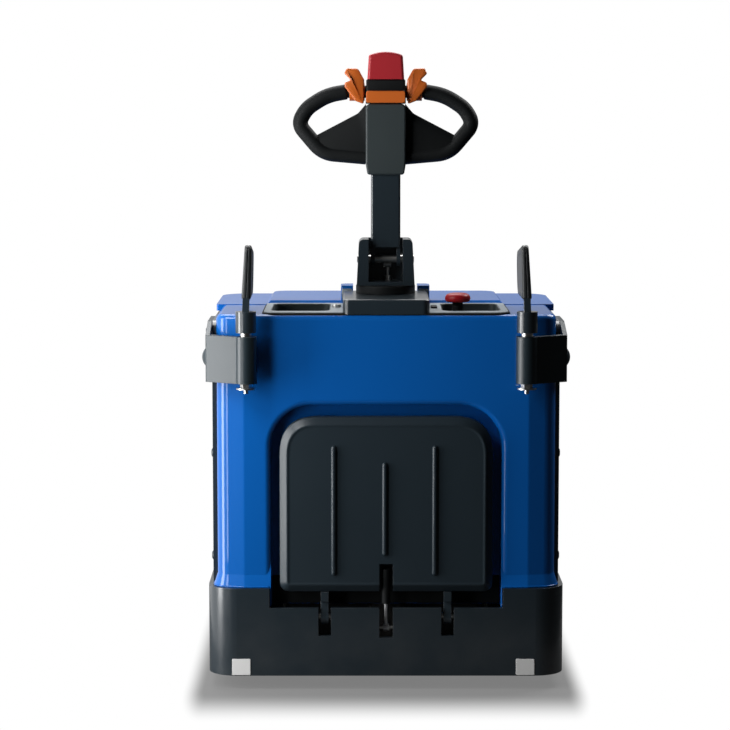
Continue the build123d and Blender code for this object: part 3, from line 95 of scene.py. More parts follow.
class NodeBoard:
    """Places and links the nodes of one node tree.

    Attributes:
        pitch: Distance of the nodes to the right and down on the board.
        rows: Rows that the nodes are staggered over.
    """

    pitch: tuple[int, int] = (190, 160)
    rows: int = 3

    def __init__(self, tree: bpy.types.NodeTree) -> None:
        """Empties the tree and keeps it.

        Args:
            tree: Node tree of a material, a world or a group.
        """
        self.tree = tree
        self.tree.nodes.clear()
        self.column = 0

    def add(self, kind: str, **values: object) -> bpy.types.Node:
        """Adds a node and sets its properties.

        Args:
            kind: Blender's type name of the node.
            values: Properties of the node to set.

        Returns:
            The new node.
        """
        node = self.tree.nodes.new(kind)
        node.location = (self.column * self.pitch[0], -self.pitch[1] * (self.column % self.rows))
        self.column += 1
        for name, value in values.items():
            setattr(node, name, value)
        return node

    def link(self, source: bpy.types.NodeSocket, target: bpy.types.NodeSocket) -> None:
        """Links an output to an input."""
        self.tree.links.new(source, target)

    def math(self, operation: str, first: object, second: object = 0.0) -> bpy.types.NodeSocket:
        """Adds a math node fed by sockets or numbers.

        Args:
            operation: Name of the math operation.
            first: Socket or number for the first input.
            second: Socket or number for the second input.

        Returns:
            The node's output socket.
        """
        node = self.add("ShaderNodeMath", operation=operation)
        for index, value in enumerate((first, second)):
            self.feed(value, node.inputs[index])
        return node.outputs[0]

    def feed(self, value: object, target: bpy.types.NodeSocket) -> None:
        """Links a socket, or sets a constant, on an input.

        Args:
            value: Socket or number.
            target: Input that takes it.
        """
        if isinstance(value, bpy.types.NodeSocket):
            self.link(value, target)
        else:
            target.default_value = value

    def span(
        self, value: object, low: float, high: float, out_low: float = 0.0, out_high: float = 1.0
    ) -> bpy.types.NodeSocket:
        """Maps a value from one span to another, clamped.

        Args:
            value: Socket or number to map.
            low: Start of the span that is read.
            high: End of the span that is read.
            out_low: Value given at the start.
            out_high: Value given at the end.

        Returns:
            The mapped value's socket.
        """
        node = self.add("ShaderNodeMapRange")
        names = ("From Min", "From Max", "To Min", "To Max")
        for name, number in zip(names, (low, high, out_low, out_high)):
            node.inputs[name].default_value = number
        self.feed(value, node.inputs["Value"])
        return node.outputs["Result"]

    def blend(self, mask: object, first: object, second: object) -> bpy.types.NodeSocket:
        """Mixes two colours by a mask.

        Args:
            mask: Socket or number, 0 for the first colour.
            first: Socket or colour.
            second: Socket or colour.

        Returns:
            The mixed colour's socket.
        """
        node = self.add("ShaderNodeMix", data_type="RGBA")
        self.feed(mask, node.inputs["Factor"])
        self.feed(first, node.inputs["A"])
        self.feed(second, node.inputs["B"])
        return node.outputs["Result"]

    def noise(self, place: bpy.types.NodeSocket, scale: object, detail: float) -> bpy.types.NodeSocket:
        """Adds a noise texture.

        Args:
            place: Socket with the coordinates.
            scale: Socket or number for the scale.
            detail: Detail of the noise.

        Returns:
            The noise's value.
        """
        node = self.add("ShaderNodeTexNoise")
        node.inputs["Detail"].default_value = detail
        self.link(place, node.inputs["Vector"])
        self.feed(scale, node.inputs["Scale"])
        return node.outputs["Fac"]


def rgba(colour: Colour) -> tuple[float, float, float, float]:
    """Gives a colour its alpha of 1."""
    return (*colour, 1.0)


class EffectGroups:
    """Shader node groups that several finishes share; each is built once.

    Attributes:
        edge_radius: Radius within which an edge is found for its wear.
        edge_turn: Cosines of the turn of the surface where wear starts and where it is full.
        worn_patches: Noise values between which wear sets in.
        dust_patches: Noise values between which dust sets in.
        grey: Colour of a socket that nothing is linked to.
    """

    edge_radius: float = 0.003
    edge_turn: Pair = (0.995, 0.85)
    worn_patches: Pair = (0.42, 0.66)
    dust_patches: Pair = (0.35, 0.7)
    grey: tuple[float, float, float, float] = (0.5, 0.5, 0.5, 1.0)

    def __init__(self) -> None:
        """Builds the groups."""
        self.grain = self._grain()
        self.wear = self._wear()
        self.dust = self._dust()

    @staticmethod
    def _start(
        name: str, inputs: dict[str, tuple[str, object]], outputs: dict[str, str]
    ) -> tuple[NodeBoard, bpy.types.Node, bpy.types.Node]:
        """Starts a group with its sockets.

        Args:
            name: Name of the group.
            inputs: Socket name to socket type and default.
            outputs: Socket name to socket type.

        Returns:
            The board, the group's input node and its output node.
        """
        tree = bpy.data.node_groups.new(name, "ShaderNodeTree")
        for label, (kind, default) in inputs.items():
            socket = tree.interface.new_socket(name=label, in_out="INPUT", socket_type=kind)
            socket.default_value = default
        for label, kind in outputs.items():
            tree.interface.new_socket(name=label, in_out="OUTPUT", socket_type=kind)
        board = NodeBoard(tree)
        return board, board.add("NodeGroupInput"), board.add("NodeGroupOutput")

    def _grain(self) -> bpy.types.NodeTree:
        """Builds the fine grain of a moulded or sprayed surface.

        Returns:
            The group, which gives a colour, a roughness and a bump height.
        """
        board, given, out = self._start(
            "surface_grain",
            {
                "Colour": ("NodeSocketColor", self.grey),
                "Scale": ("NodeSocketFloat", 400.0),
                "Tone": ("NodeSocketFloat", 0.08),
                "Roughness": ("NodeSocketFloat", 0.5),
                "Spread": ("NodeSocketFloat", 0.05),
            },
            {"Colour": "NodeSocketColor", "Roughness": "NodeSocketFloat", "Height": "NodeSocketFloat"},
        )
        place = board.add("ShaderNodeTexCoord").outputs["Object"]
        fine = board.noise(place, given.outputs["Scale"], detail=3.0)
        broad = board.noise(place, scale=6.0, detail=5.0)
        lift = board.math("SUBTRACT", broad, 0.5)
        shift = board.math("MULTIPLY", lift, given.outputs["Tone"])
        value = board.math("ADD", shift, 1.0)
        tint = board.add("ShaderNodeHueSaturation")
        board.link(given.outputs["Colour"], tint.inputs["Color"])
        board.link(value, tint.inputs["Value"])
        board.link(tint.outputs["Color"], out.inputs["Colour"])
        wobble = board.math("MULTIPLY", lift, given.outputs["Spread"])
        board.link(board.math("ADD", wobble, given.outputs["Roughness"]), out.inputs["Roughness"])
        board.link(fine, out.inputs["Height"])
        return board.tree

    def _wear(self) -> bpy.types.NodeTree:
        """Builds the rubbed edges of a painted or moulded piece.

        Returns:
            The group, which gives a colour and the mask of the worn edge.
        """
        board, given, out = self._start(
            "rubbed_edges",
            {
                "Colour": ("NodeSocketColor", self.grey),
                "Worn": ("NodeSocketColor", self.grey),
                "Amount": ("NodeSocketFloat", 0.3),
            },
            {"Colour": "NodeSocketColor", "Mask": "NodeSocketFloat"},
        )
        geometry = board.add("ShaderNodeNewGeometry")
        edge = board.add("ShaderNodeBevel", samples=BEVEL_SAMPLES)
        edge.inputs["Radius"].default_value = self.edge_radius
        turn = board.add("ShaderNodeVectorMath", operation="DOT_PRODUCT")
        board.link(edge.outputs["Normal"], turn.inputs[0])
        board.link(geometry.outputs["Normal"], turn.inputs[1])
        bend = board.span(turn.outputs["Value"], *self.edge_turn)
        patch = board.noise(board.add("ShaderNodeTexCoord").outputs["Object"], scale=28.0, detail=6.0)
        broken = board.span(patch, *self.worn_patches)
        mask = board.math("MULTIPLY", board.math("MULTIPLY", bend, broken), given.outputs["Amount"])
        board.link(mask, out.inputs["Mask"])
        board.link(board.blend(mask, given.outputs["Colour"], given.outputs["Worn"]), out.inputs["Colour"])
        return board.tree

    def _dust(self) -> bpy.types.NodeTree:
        """Builds the floor dust that gathers towards the wheels.

        Returns:
            The group, which gives a colour and the dust's mask.
        """
        board, given, out = self._start(
            "floor_dust",
            {
                "Colour": ("NodeSocketColor", self.grey),
                "Dust": ("NodeSocketColor", (0.32, 0.3, 0.28, 1.0)),
                "Amount": ("NodeSocketFloat", 0.2),
                "Height": ("NodeSocketFloat", 0.25),
            },
            {"Colour": "NodeSocketColor", "Mask": "NodeSocketFloat"},
        )
        place = board.add("ShaderNodeTexCoord").outputs["Object"]
        parts = board.add("ShaderNodeSeparateXYZ")
        board.link(place, parts.inputs[0])
        level = board.math("DIVIDE", parts.outputs["Z"], given.outputs["Height"])
        low = board.span(level, 0.0, 1.0, 1.0, 0.0)
        cloud = board.noise(place, scale=14.0, detail=6.0)
        patchy = board.span(cloud, *self.dust_patches)
        mask = board.math("MULTIPLY", board.math("MULTIPLY", low, patchy), given.outputs["Amount"])
        board.link(mask, out.inputs["Mask"])
        board.link(board.blend(mask, given.outputs["Colour"], given.outputs["Dust"]), out.inputs["Colour"])
        return board.tree


@dataclass(frozen=True)
class Finish:
    """One surface finish and the values that make its material.

    Attributes:
        name: Name of the material.
        slot: Material slot of the record that pieces with this finish take.
        colour: Base colour.
        roughness: Mean roughness.
        metallic: 1 for bare metal.
        coat: Weight of a clear coat.
        coat_roughness: Roughness of that coat.
        specular: Specular level of the base.
        tone: Broad change of tone over the surface.
        spread: Change of roughness over the surface.
        grain: Scale of the fine grain.
        bump: Depth of the fine grain in metres.
        worn: Colour of rubbed edges.
        wear: Amount of rubbed edges.
        dust: Amount of floor dust.
        edge: Radius that corners are softened by, in metres.
    """

    name: str
    slot: str
    colour: Colour
    roughness: float
    metallic: float = 0.0
    coat: float = 0.0
    coat_roughness: float = 0.1
    specular: float = 0.5
    tone: float = 0.08
    spread: float = 0.08
    grain: float = 500.0
    bump: float = 0.00005
    worn: Colour = (0.4, 0.4, 0.4)
    wear: float = 0.0
    dust: float = 0.0
    edge: float = 0.0012

    def material(self, groups: EffectGroups) -> bpy.types.Material:
        """Builds the finish's material.

        Args:
            groups: Shared effect groups.

        Returns:
            The material.
        """
        made = bpy.data.materials.new(self.name)
        made.use_nodes = True
        board = NodeBoard(made.node_tree)
        shader = board.add("ShaderNodeBsdfPrincipled")
        shader.inputs["Metallic"].default_value = self.metallic
        shader.inputs["Specular IOR Level"].default_value = self.specular
        shader.inputs["Coat Weight"].default_value = self.coat
        shader.inputs["Coat Roughness"].default_value = self.coat_roughness
        grain = self._place(board, groups.grain)
        grain.inputs["Colour"].default_value = rgba(self.colour)
        grain.inputs["Scale"].default_value = self.grain
        grain.inputs["Tone"].default_value = self.tone
        grain.inputs["Roughness"].default_value = self.roughness
        grain.inputs["Spread"].default_value = self.spread
        colour = grain.outputs["Colour"]
        if self.wear:
            wear = self._place(board, groups.wear)
            wear.inputs["Worn"].default_value = rgba(self.worn)
            wear.inputs["Amount"].default_value = self.wear
            board.link(colour, wear.inputs["Colour"])
            colour = wear.outputs["Colour"]
        if self.dust:
            dust = self._place(board, groups.dust)
            dust.inputs["Amount"].default_value = self.dust
            board.link(colour, dust.inputs["Colour"])
            colour = dust.outputs["Colour"]
        board.link(colour, shader.inputs["Base Color"])
        board.link(grain.outputs["Roughness"], shader.inputs["Roughness"])
        bump = board.add("ShaderNodeBump")
        bump.inputs["Distance"].default_value = self.bump
        bump.inputs["Strength"].default_value = 1.0
        board.link(grain.outputs["Height"], bump.inputs["Height"])
        if self.edge:
            soft = board.add("ShaderNodeBevel", samples=BEVEL_SAMPLES)
            soft.inputs["Radius"].default_value = self.edge
            board.link(soft.outputs["Normal"], bump.inputs["Normal"])
        board.link(bump.outputs["Normal"], shader.inputs["Normal"])
        output = board.add("ShaderNodeOutputMaterial")
        board.link(shader.outputs["BSDF"], output.inputs["Surface"])
        return made

    @staticmethod
    def _place(board: NodeBoard, tree: bpy.types.NodeTree) -> bpy.types.Node:
        """Places a shared group on a material's board."""
        return board.add("ShaderNodeGroup", node_tree=tree)


class Finishes(Enum):
    """The truck's finishes."""

    HOOD_BLUE = Finish(
        "hood_blue_gloss", "blue_paint", (0.002, 0.105, 0.42), 0.35, coat=0.65, coat_roughness=0.06,
        specular=0.12, tone=0.05, grain=900.0, bump=0.00003, edge=0.0016,
    )
    FRAME_PAINT = Finish(
        "frame_slate_satin", "frame_paint", (0.0150, 0.0240, 0.0315), 0.3, coat=0.7, coat_roughness=0.16,
        tone=0.12, grain=700.0, bump=0.00008, worn=(0.16, 0.17, 0.18), wear=0.25, dust=0.05,
    )
    BRACKET_PAINT = Finish(
        "bracket_slate_semi_gloss", "frame_paint", (0.015, 0.026, 0.033), 0.36, tone=0.1, grain=700.0,
        bump=0.00005, worn=(0.2, 0.22, 0.23), wear=0.35, edge=0.0018,
    )
    PLATFORM_PAINT = Finish(
        "platform_slate_satin", "platform_paint", (0.0168, 0.0270, 0.0355), 0.36, tone=0.1, grain=800.0,
        bump=0.00009, specular=0.4, worn=(0.14, 0.15, 0.16), wear=0.2, dust=0.04,
    )
    DASH_SILVER = Finish(
        "dash_silver_grey", "dash_plastic", (0.2, 0.235, 0.26), 0.4, tone=0.06, grain=1200.0, bump=0.00006,
    )
    BLACK_PLASTIC = Finish(
        "black_moulded", "black_plastic", (0.006, 0.0072, 0.0078), 0.6, specular=0.15, tone=0.1,
        grain=1400.0, bump=0.00008,
    )
    SLATE_PLASTIC = Finish(
        "slate_moulded", "slate_plastic", (0.0225, 0.0325, 0.035), 0.5, tone=0.08, grain=1500.0, bump=0.00007,
    )
    ORANGE_PLASTIC = Finish(
        "orange_moulded", "orange_plastic", (0.56, 0.125, 0.018), 0.34, tone=0.06, grain=1500.0, bump=0.00004,
    )
    RED_PLASTIC = Finish(
        "red_moulded", "red_plastic", (0.38, 0.02, 0.028), 0.4, specular=0.35, tone=0.07, grain=1500.0,
        bump=0.00005,
    )
    STOP_RED = Finish(
        "stop_red_moulded", "red_plastic", (0.28, 0.008, 0.012), 0.34, specular=0.2, tone=0.05, grain=1500.0,
        bump=0.00003,
    )
    BRIGHT_STEEL = Finish(
        "zinc_plated_steel", "bright_steel", (0.62, 0.62, 0.6), 0.3, metallic=1.0, tone=0.18, spread=0.2,
        grain=600.0, bump=0.00003, edge=0.0006,
    )
    SATIN_CHROME = Finish(
        "strut_satin_chrome", "bright_steel", (0.55, 0.56, 0.57), 0.28, metallic=0.45, tone=0.12, spread=0.1,
        grain=800.0, bump=0.00002, edge=0.0005,
    )
    PAD_RUBBER = Finish(
        "pad_foam_rubber", "pad_rubber", (0.012, 0.015, 0.016), 0.46, tone=0.12, spread=0.2, grain=900.0,
        bump=0.00008,
    )
    CAST_IRON = Finish(
        "drive_cast_iron", "cast_iron", (0.03, 0.031, 0.033), 0.6, tone=0.2, grain=260.0, bump=0.0003,
        dust=0.3,
    )
    PLATE_WHITE = Finish(
        "bare_plate_white", "dash_plastic", (0.86, 0.86, 0.85), 0.45, tone=0.05, grain=900.0, bump=0.00002,
        edge=0.0003,
    )
    WHEEL_RUBBER = Finish(
        "wheel_polyurethane", "wheel_rubber", (0.035, 0.034, 0.033), 0.6, tone=0.15, grain=700.0, bump=0.0001,
        dust=0.5,
    )


class Wardrobe:
    """Holds one material for each finish and dresses objects with it.

    Attributes:
        special: Solids whose finish isn't the first one of their slot.
        materials: Material of each finish.
    """

    special: dict[str, Finishes] = {
        "guard_bracket_left": Finishes.BRACKET_PAINT,
        "guard_bracket_right": Finishes.BRACKET_PAINT,
        "tiller_block": Finishes.FRAME_PAINT,
        "strut_rod": Finishes.SATIN_CHROME,
    }

    def __init__(self) -> None:
        """Builds the shared groups and every finish's material."""
        groups = EffectGroups()
        self.materials = {finish: finish.value.material(groups) for finish in Finishes}

    def dress(self, item: bpy.types.Object, finish: Finishes) -> None:
        """Puts a finish on every material slot of an object.

        Args:
            item: Object to dress.
            finish: Finish to put on it.
        """
        material = self.materials[finish]
        if not item.material_slots:
            item.data.materials.append(material)
        for place in item.material_slots:
            place.material = material

    def fit(self, item: bpy.types.Object, finish: Finishes, body: str) -> None:
        """Dresses an added piece and fixes it to a body.

        Args:
            item: Piece to fit.
            finish: Finish to put on it.
            body: Body that it rides on.
        """
        self.dress(item, finish)
        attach(item, body)
        LOG.info("added %s on %s", item.name, body)

    def dress_solids(self, nodes: dict[str, bpy.types.Object], record: dict) -> None:
        """Dresses every CAD solid by its slot in the record.

        Args:
            nodes: CAD objects by node name.
            record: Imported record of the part.
        """
        by_slot: dict[str, Finishes] = {}
        for finish in Finishes:
            by_slot.setdefault(finish.value.slot, finish)
        for entry in record["subparts"]:
            node = entry["node"]
            plain = by_slot[entry["material_slot"]]
            self.dress(nodes[node], self.special.get(node, plain))
            LOG.info("dressed solid %s", node)


def round_corners(points: Sequence[Pair], radii: Sequence[float], steps: int = 8) -> list[Pair]:
    """Rounds the corners of a closed outline, each with a curve between an arc's tangent points.

    Args:
        points: Corners in order.
        radii: Radius of that arc at each corner, 0 for a sharp one.
        steps: Segments of each rounded corner.

    Returns:
        Points of the rounded outline; each corner gives steps + 1 of them.
    """
    loop: list[Pair] = []
    for index, (corner, radius) in enumerate(zip(points, radii)):
        here = Vector(corner)
        back = (Vector(points[index - 1]) - here).normalized()
        ahead = (Vector(points[(index + 1) % len(points)]) - here).normalized()
        half_turn = math.acos(max(-1.0, min(1.0, back.dot(ahead)))) / 2
        reach = radius / math.tan(half_turn)
        start, end = here + back * reach, here + ahead * reach
        for step in range(steps + 1):
            share = step / steps
            first, second = start.lerp(here, share), here.lerp(end, share)
            spot = first.lerp(second, share)
            loop.append((spot.x, spot.y))
    return loop


def oblong(low: Pair, high: Pair, radius: float, steps: int = 4) -> list[Pair]:
    """Gives an oblong outline with four like corners.

    Args:
        low: First corner.
        high: Corner opposite to it.
        radius: Radius of the corners.
        steps: Segments of each corner.

    Returns:
        Points of the outline.
    """
    corners = [low, (high[0], low[1]), high, (low[0], high[1])]
    return round_corners(corners, [radius] * len(corners), steps)


def bent_line(points: Sequence[Pair], radii: Sequence[float], steps: int = 8) -> list[Pair]:
    """Rounds the bends of an open line.

    Args:
        points: Points in order.
        radii: Radius at each point, 0 at the two ends.
        steps: Segments of each bend.

    Returns:
        Points of the line, with each end once.
    """
    loop = round_corners(points, radii, steps)
    each = steps + 1
    return [loop[0]] + loop[each:-each] + [loop[-1]]


def inset(loop: list[Pair], distance: float) -> list[Pair]:
    """Moves a closed outline inwards.

    Args:
        loop: Points of the outline in order.
        distance: How far, negative to move it outwards.

    Returns:
        Points of the moved outline.
    """
    count = len(loop)
    area = sum(loop[i - 1][0] * loop[i][1] - loop[i][0] * loop[i - 1][1] for i in range(count))
    turn = 1.0 if area > 0 else -1.0
    moved: list[Pair] = []
    for index in range(count):
        step = 1
        while (Vector(loop[(index + step) % count]) - Vector(loop[index - step])).length < SAME_POINT:
            step += 1
        along = (Vector(loop[(index + step) % count]) - Vector(loop[index - step])).normalized()
        x, y = loop[index]
        moved.append((x - turn * along.y * distance, y + turn * along.x * distance))
    return moved


class MeshMaker:
    """Collects the vertices and faces of one piece."""

    def __init__(self) -> None:
        """Starts an empty piece."""
        self.points: list[Triple] = []
        self.faces: list[tuple[int, ...]] = []

    def rings(self, rings: list[list[Triple]], caps: bool = True) -> None:
        """Skins a row of closed rings that have the same number of points.

        Args:
            rings: Rings in order.
            caps: Whether the first and last ring are filled.
        """
        base, count = len(self.points), len(rings[0])
        for ring in rings:
            self.points.extend(tuple(point) for point in ring)
        for row in range(len(rings) - 1):
            for index in range(count):
                after = (index + 1) % count
                low, high = base + row * count, base + (row + 1) * count
                self.faces.append((low + index, low + after, high + after, high + index))
        if caps:
            last = base + (len(rings) - 1) * count
            self.faces.append(tuple(range(base, base + count)))
            self.faces.append(tuple(range(last, last + count)))

    def plate(self, loop: list[Pair], base: float, layers: Sequence[Pair]) -> None:
        """Stacks an outline in X and height at several depths.

        Args:
            loop: Points of the outline in order.
            base: Y that the depths start from.
            layers: Depth and inset of each ring.
        """
        self.rings([[(x, base + depth, z) for x, z in inset(loop, cut)] for depth, cut in layers])

    def tube(
        self, path: list[Triple], radii: list[float], sides: int = 24, normal: Triple = (0.0, 1.0, 0.0)
    ) -> None:
        """Sweeps a circle along a path that stays in one plane.

        Args:
            path: Points of the centre line.
            radii: Radius at each point.
            sides: Sides of the circle.
            normal: Normal of the path's plane.
        """
        deep = Vector(normal)
        turns = [2 * math.pi * side / sides for side in range(sides)]
        rings: list[list[Triple]] = []
        for index, (spot, radius) in enumerate(zip(path, radii)):
            here = Vector(spot)
            ahead = Vector(path[min(index + 1, len(path) - 1)])
            along = (ahead - Vector(path[max(index - 1, 0)])).normalized()
            out = along.cross(deep).normalized()
            spokes = [math.cos(turn) * out + math.sin(turn) * deep for turn in turns]
            rings.append([tuple(here + radius * spoke) for spoke in spokes])
        self.rings(rings)

    def turned(self, centre: Vector, axis: Vector, profile: Sequence[Pair], sides: int = 24) -> None:
        """Turns a profile about an axis.

        Args:
            centre: Start of the axis.
            axis: Direction of the axis.
            profile: Distance along the axis and radius, in order.
            sides: Sides of each ring.
        """
        along = axis.normalized()
        first = along.orthogonal().normalized()
        second = along.cross(first)
        turns = [2 * math.pi * side / sides for side in range(sides)]
        spokes = [math.cos(turn) * first + math.sin(turn) * second for turn in turns]
        self.rings(
            [[tuple(centre + along * far + radius * spoke) for spoke in spokes] for far, radius in profile]
        )

    def make(self, name: str, crease: float = 40.0) -> bpy.types.Object:
        """Makes the object in the scene.

        Args:
            name: Name of the piece.
            crease: Angle in degrees above which an edge stays sharp.

        Returns:
            The new object.
        """
        mesh = bpy.data.meshes.new(name)
        mesh.from_pydata(self.points, [], self.faces)
        work = bmesh.new()
        work.from_mesh(mesh)
        bmesh.ops.remove_doubles(work, verts=work.verts, dist=SAME_POINT)
        bmesh.ops.recalc_face_normals(work, faces=work.faces)
        work.to_mesh(mesh)
        work.free()
        mesh.shade_smooth()
        mesh.set_sharp_from_angle(angle=math.radians(crease))
        item = bpy.data.objects.new(name, mesh)
        bpy.context.scene.collection.objects.link(item)
        return item


def cut_boxes(item: bpy.types.Object, boxes: list[tuple[Triple, Triple]], crease: float = 30.0) -> None:
    """Cuts boxes out of a closed piece and keeps the result as its mesh.

    Args:
        item: Piece to cut.
        boxes: Lowest and highest corner of each box.
        crease: Angle in degrees above which an edge stays sharp.
    """
    for low, high in boxes:
        face = [(low[0], low[1]), (high[0], low[1]), (high[0], high[1]), (low[0], high[1])]
        maker = MeshMaker()
        maker.rings([[(x, y, z) for x, y in face] for z in (low[2], high[2])])
        cutter = maker.make("cutter")
        cut = item.modifiers.new("slot", "BOOLEAN")
        cut.operation = "DIFFERENCE"
        cut.solver = "EXACT"
        cut.object = cutter
        graph = bpy.context.evaluated_depsgraph_get()
        mesh = bpy.data.meshes.new_from_object(item.evaluated_get(graph))
        item.modifiers.clear()
        item.data = mesh
        bpy.data.objects.remove(cutter)
    item.data.shade_smooth()
    item.data.set_sharp_from_angle(angle=math.radians(crease))


def soften(item: bpy.types.Object, width: float, segments: int = 3, sharp: float = 35.0) -> None:
    """Rounds the sharp edges of a piece.

    Args:
        item: Piece to round.
        width: Width of the rounding.
        segments: Segments of the rounding.
        sharp: Angle in degrees above which an edge is rounded.
    """
    bevel = item.modifiers.new("rounded_edges", "BEVEL")
    bevel.width = width
    bevel.segments = segments
    bevel.limit_method = "ANGLE"
    bevel.angle_limit = math.radians(sharp)
    bevel.harden_normals = True


@dataclass
class GuardPads:
    """Moulded foam pads over the two guard arms.

    Attributes:
        hub: X, Y and Z of the right arm's hub top.
        rear: Depth of the pad's rear end from the hub.
        length: Length of the pad.
        floor: Height of its lower edge above the hub.
        heel: Rise of the lower edge at the rear end.
        top: Height of its upper edge above the hub.
        slope: Fall of the upper edge towards the front.
        radii: Corner radii of its side outline.
        low_half: Half thickness at the lower edge.
        top_half: Half thickness at the upper edge.
        lean: Inward lean in degrees.
        splay: Outward turn in degrees.
        edge: Share of the half thickness and inset of each ring, from the middle to a face.
        panel: Inset and share of the half thickness of each ring of the sunk panel.
        crease: Angle in degrees above which an edge stays sharp.
    """

    hub: Triple = (0.286, -0.859, 0.789)
    rear: float = -0.021
    length: float = 0.3
    floor: float = 0.013
    heel: float = 0.012
    top: float = 0.137
    slope: float = 0.03
    radii: tuple[float, ...] = (0.008, 0.046, 0.046, 0.016)
    low_half: float = 0.0098
    top_half: float = 0.0070
    lean: float = 2.6
    splay: float = 1.5
    edge: Pairs = (
        (0.0, 0.0016), (0.07, 0.0014), (0.15, 0.0), (0.5, 0.0001), (0.72, 0.0006), (0.88, 0.0018),
        (0.97, 0.0034), (1.0, 0.0052),
    )
    panel: Pairs = ((0.013, 1.0), (0.0145, 0.9), (0.0165, 0.86), (0.03, 0.86))
    crease: float = 60.0

    def build(self, wardrobe: Wardrobe) -> None:
        """Makes both pads.

        Args:
            wardrobe: Finishes to dress them with.
        """
        for name, side in SIDES.items():
            pad = self._pad(name, side)
            wardrobe.fit(pad, Finishes.PAD_RUBBER, f"guard_{name}")
            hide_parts(f"guard_pad_{name}")

    def _pad(self, name: str, side: int) -> bpy.types.Object:
        """Makes one pad as a stack of rings across its thickness.

        Args:
            name: Name of the side.
            side: -1 for the left, 1 for the right.

        Returns:
            The pad.
        """
        levels = [(-share, depth) for share, depth in reversed(self.edge)] + list(self.edge[1:])
        rim = self._outline(0.0)
        faces = [self._ring(self._outline(cut), share) for cut, share in self.panel]
        backs = [self._ring(self._outline(cut), -share) for cut, share in reversed(self.panel)]
        maker = MeshMaker()
        maker.rings(backs + [self._ring(inset(rim, depth), share) for share, depth in levels] + faces)
        pad = maker.make(f"guard_pad_moulded_{name}", self.crease)
        turn = Euler((0.0, math.radians(-side * self.lean), math.radians(-side * self.splay)))
        place = Matrix.Translation((side * self.hub[0], self.hub[1], self.hub[2]))
        pad.data.transform(place @ turn.to_matrix().to_4x4())
        return pad

    def _outline(self, cut: float) -> list[Pair]:
        """Gives the pad's side outline, cut inwards all round, in depth and height from the hub.

        Args:
            cut: How far it is cut inwards.

        Returns:
            Points of the outline.
        """
        rear, front = self.rear + cut, self.rear + self.length - cut
        low, high = self.floor + cut, self.top - cut
        corners = [(rear, low + self.heel), (front, low), (front, high - self.slope), (rear, high)]
        return round_corners(corners, [max(radius - cut, LEAST_RADIUS) for radius in self.radii])

    def _ring(self, loop: list[Pair], share: float) -> list[Triple]:
        """Sets a loop at a share of the pad's half thickness, which thins towards the top.

        Args:
            loop: Points in depth and height from the hub.
            share: Share of the half thickness, negative on the pad's other face.

        Returns:
            Points of the ring.
        """
        span = self.top - self.floor
        thin = self.top_half - self.low_half
        return [(share * (self.low_half + thin * (z - self.floor) / span), y, z) for y, z in loop]


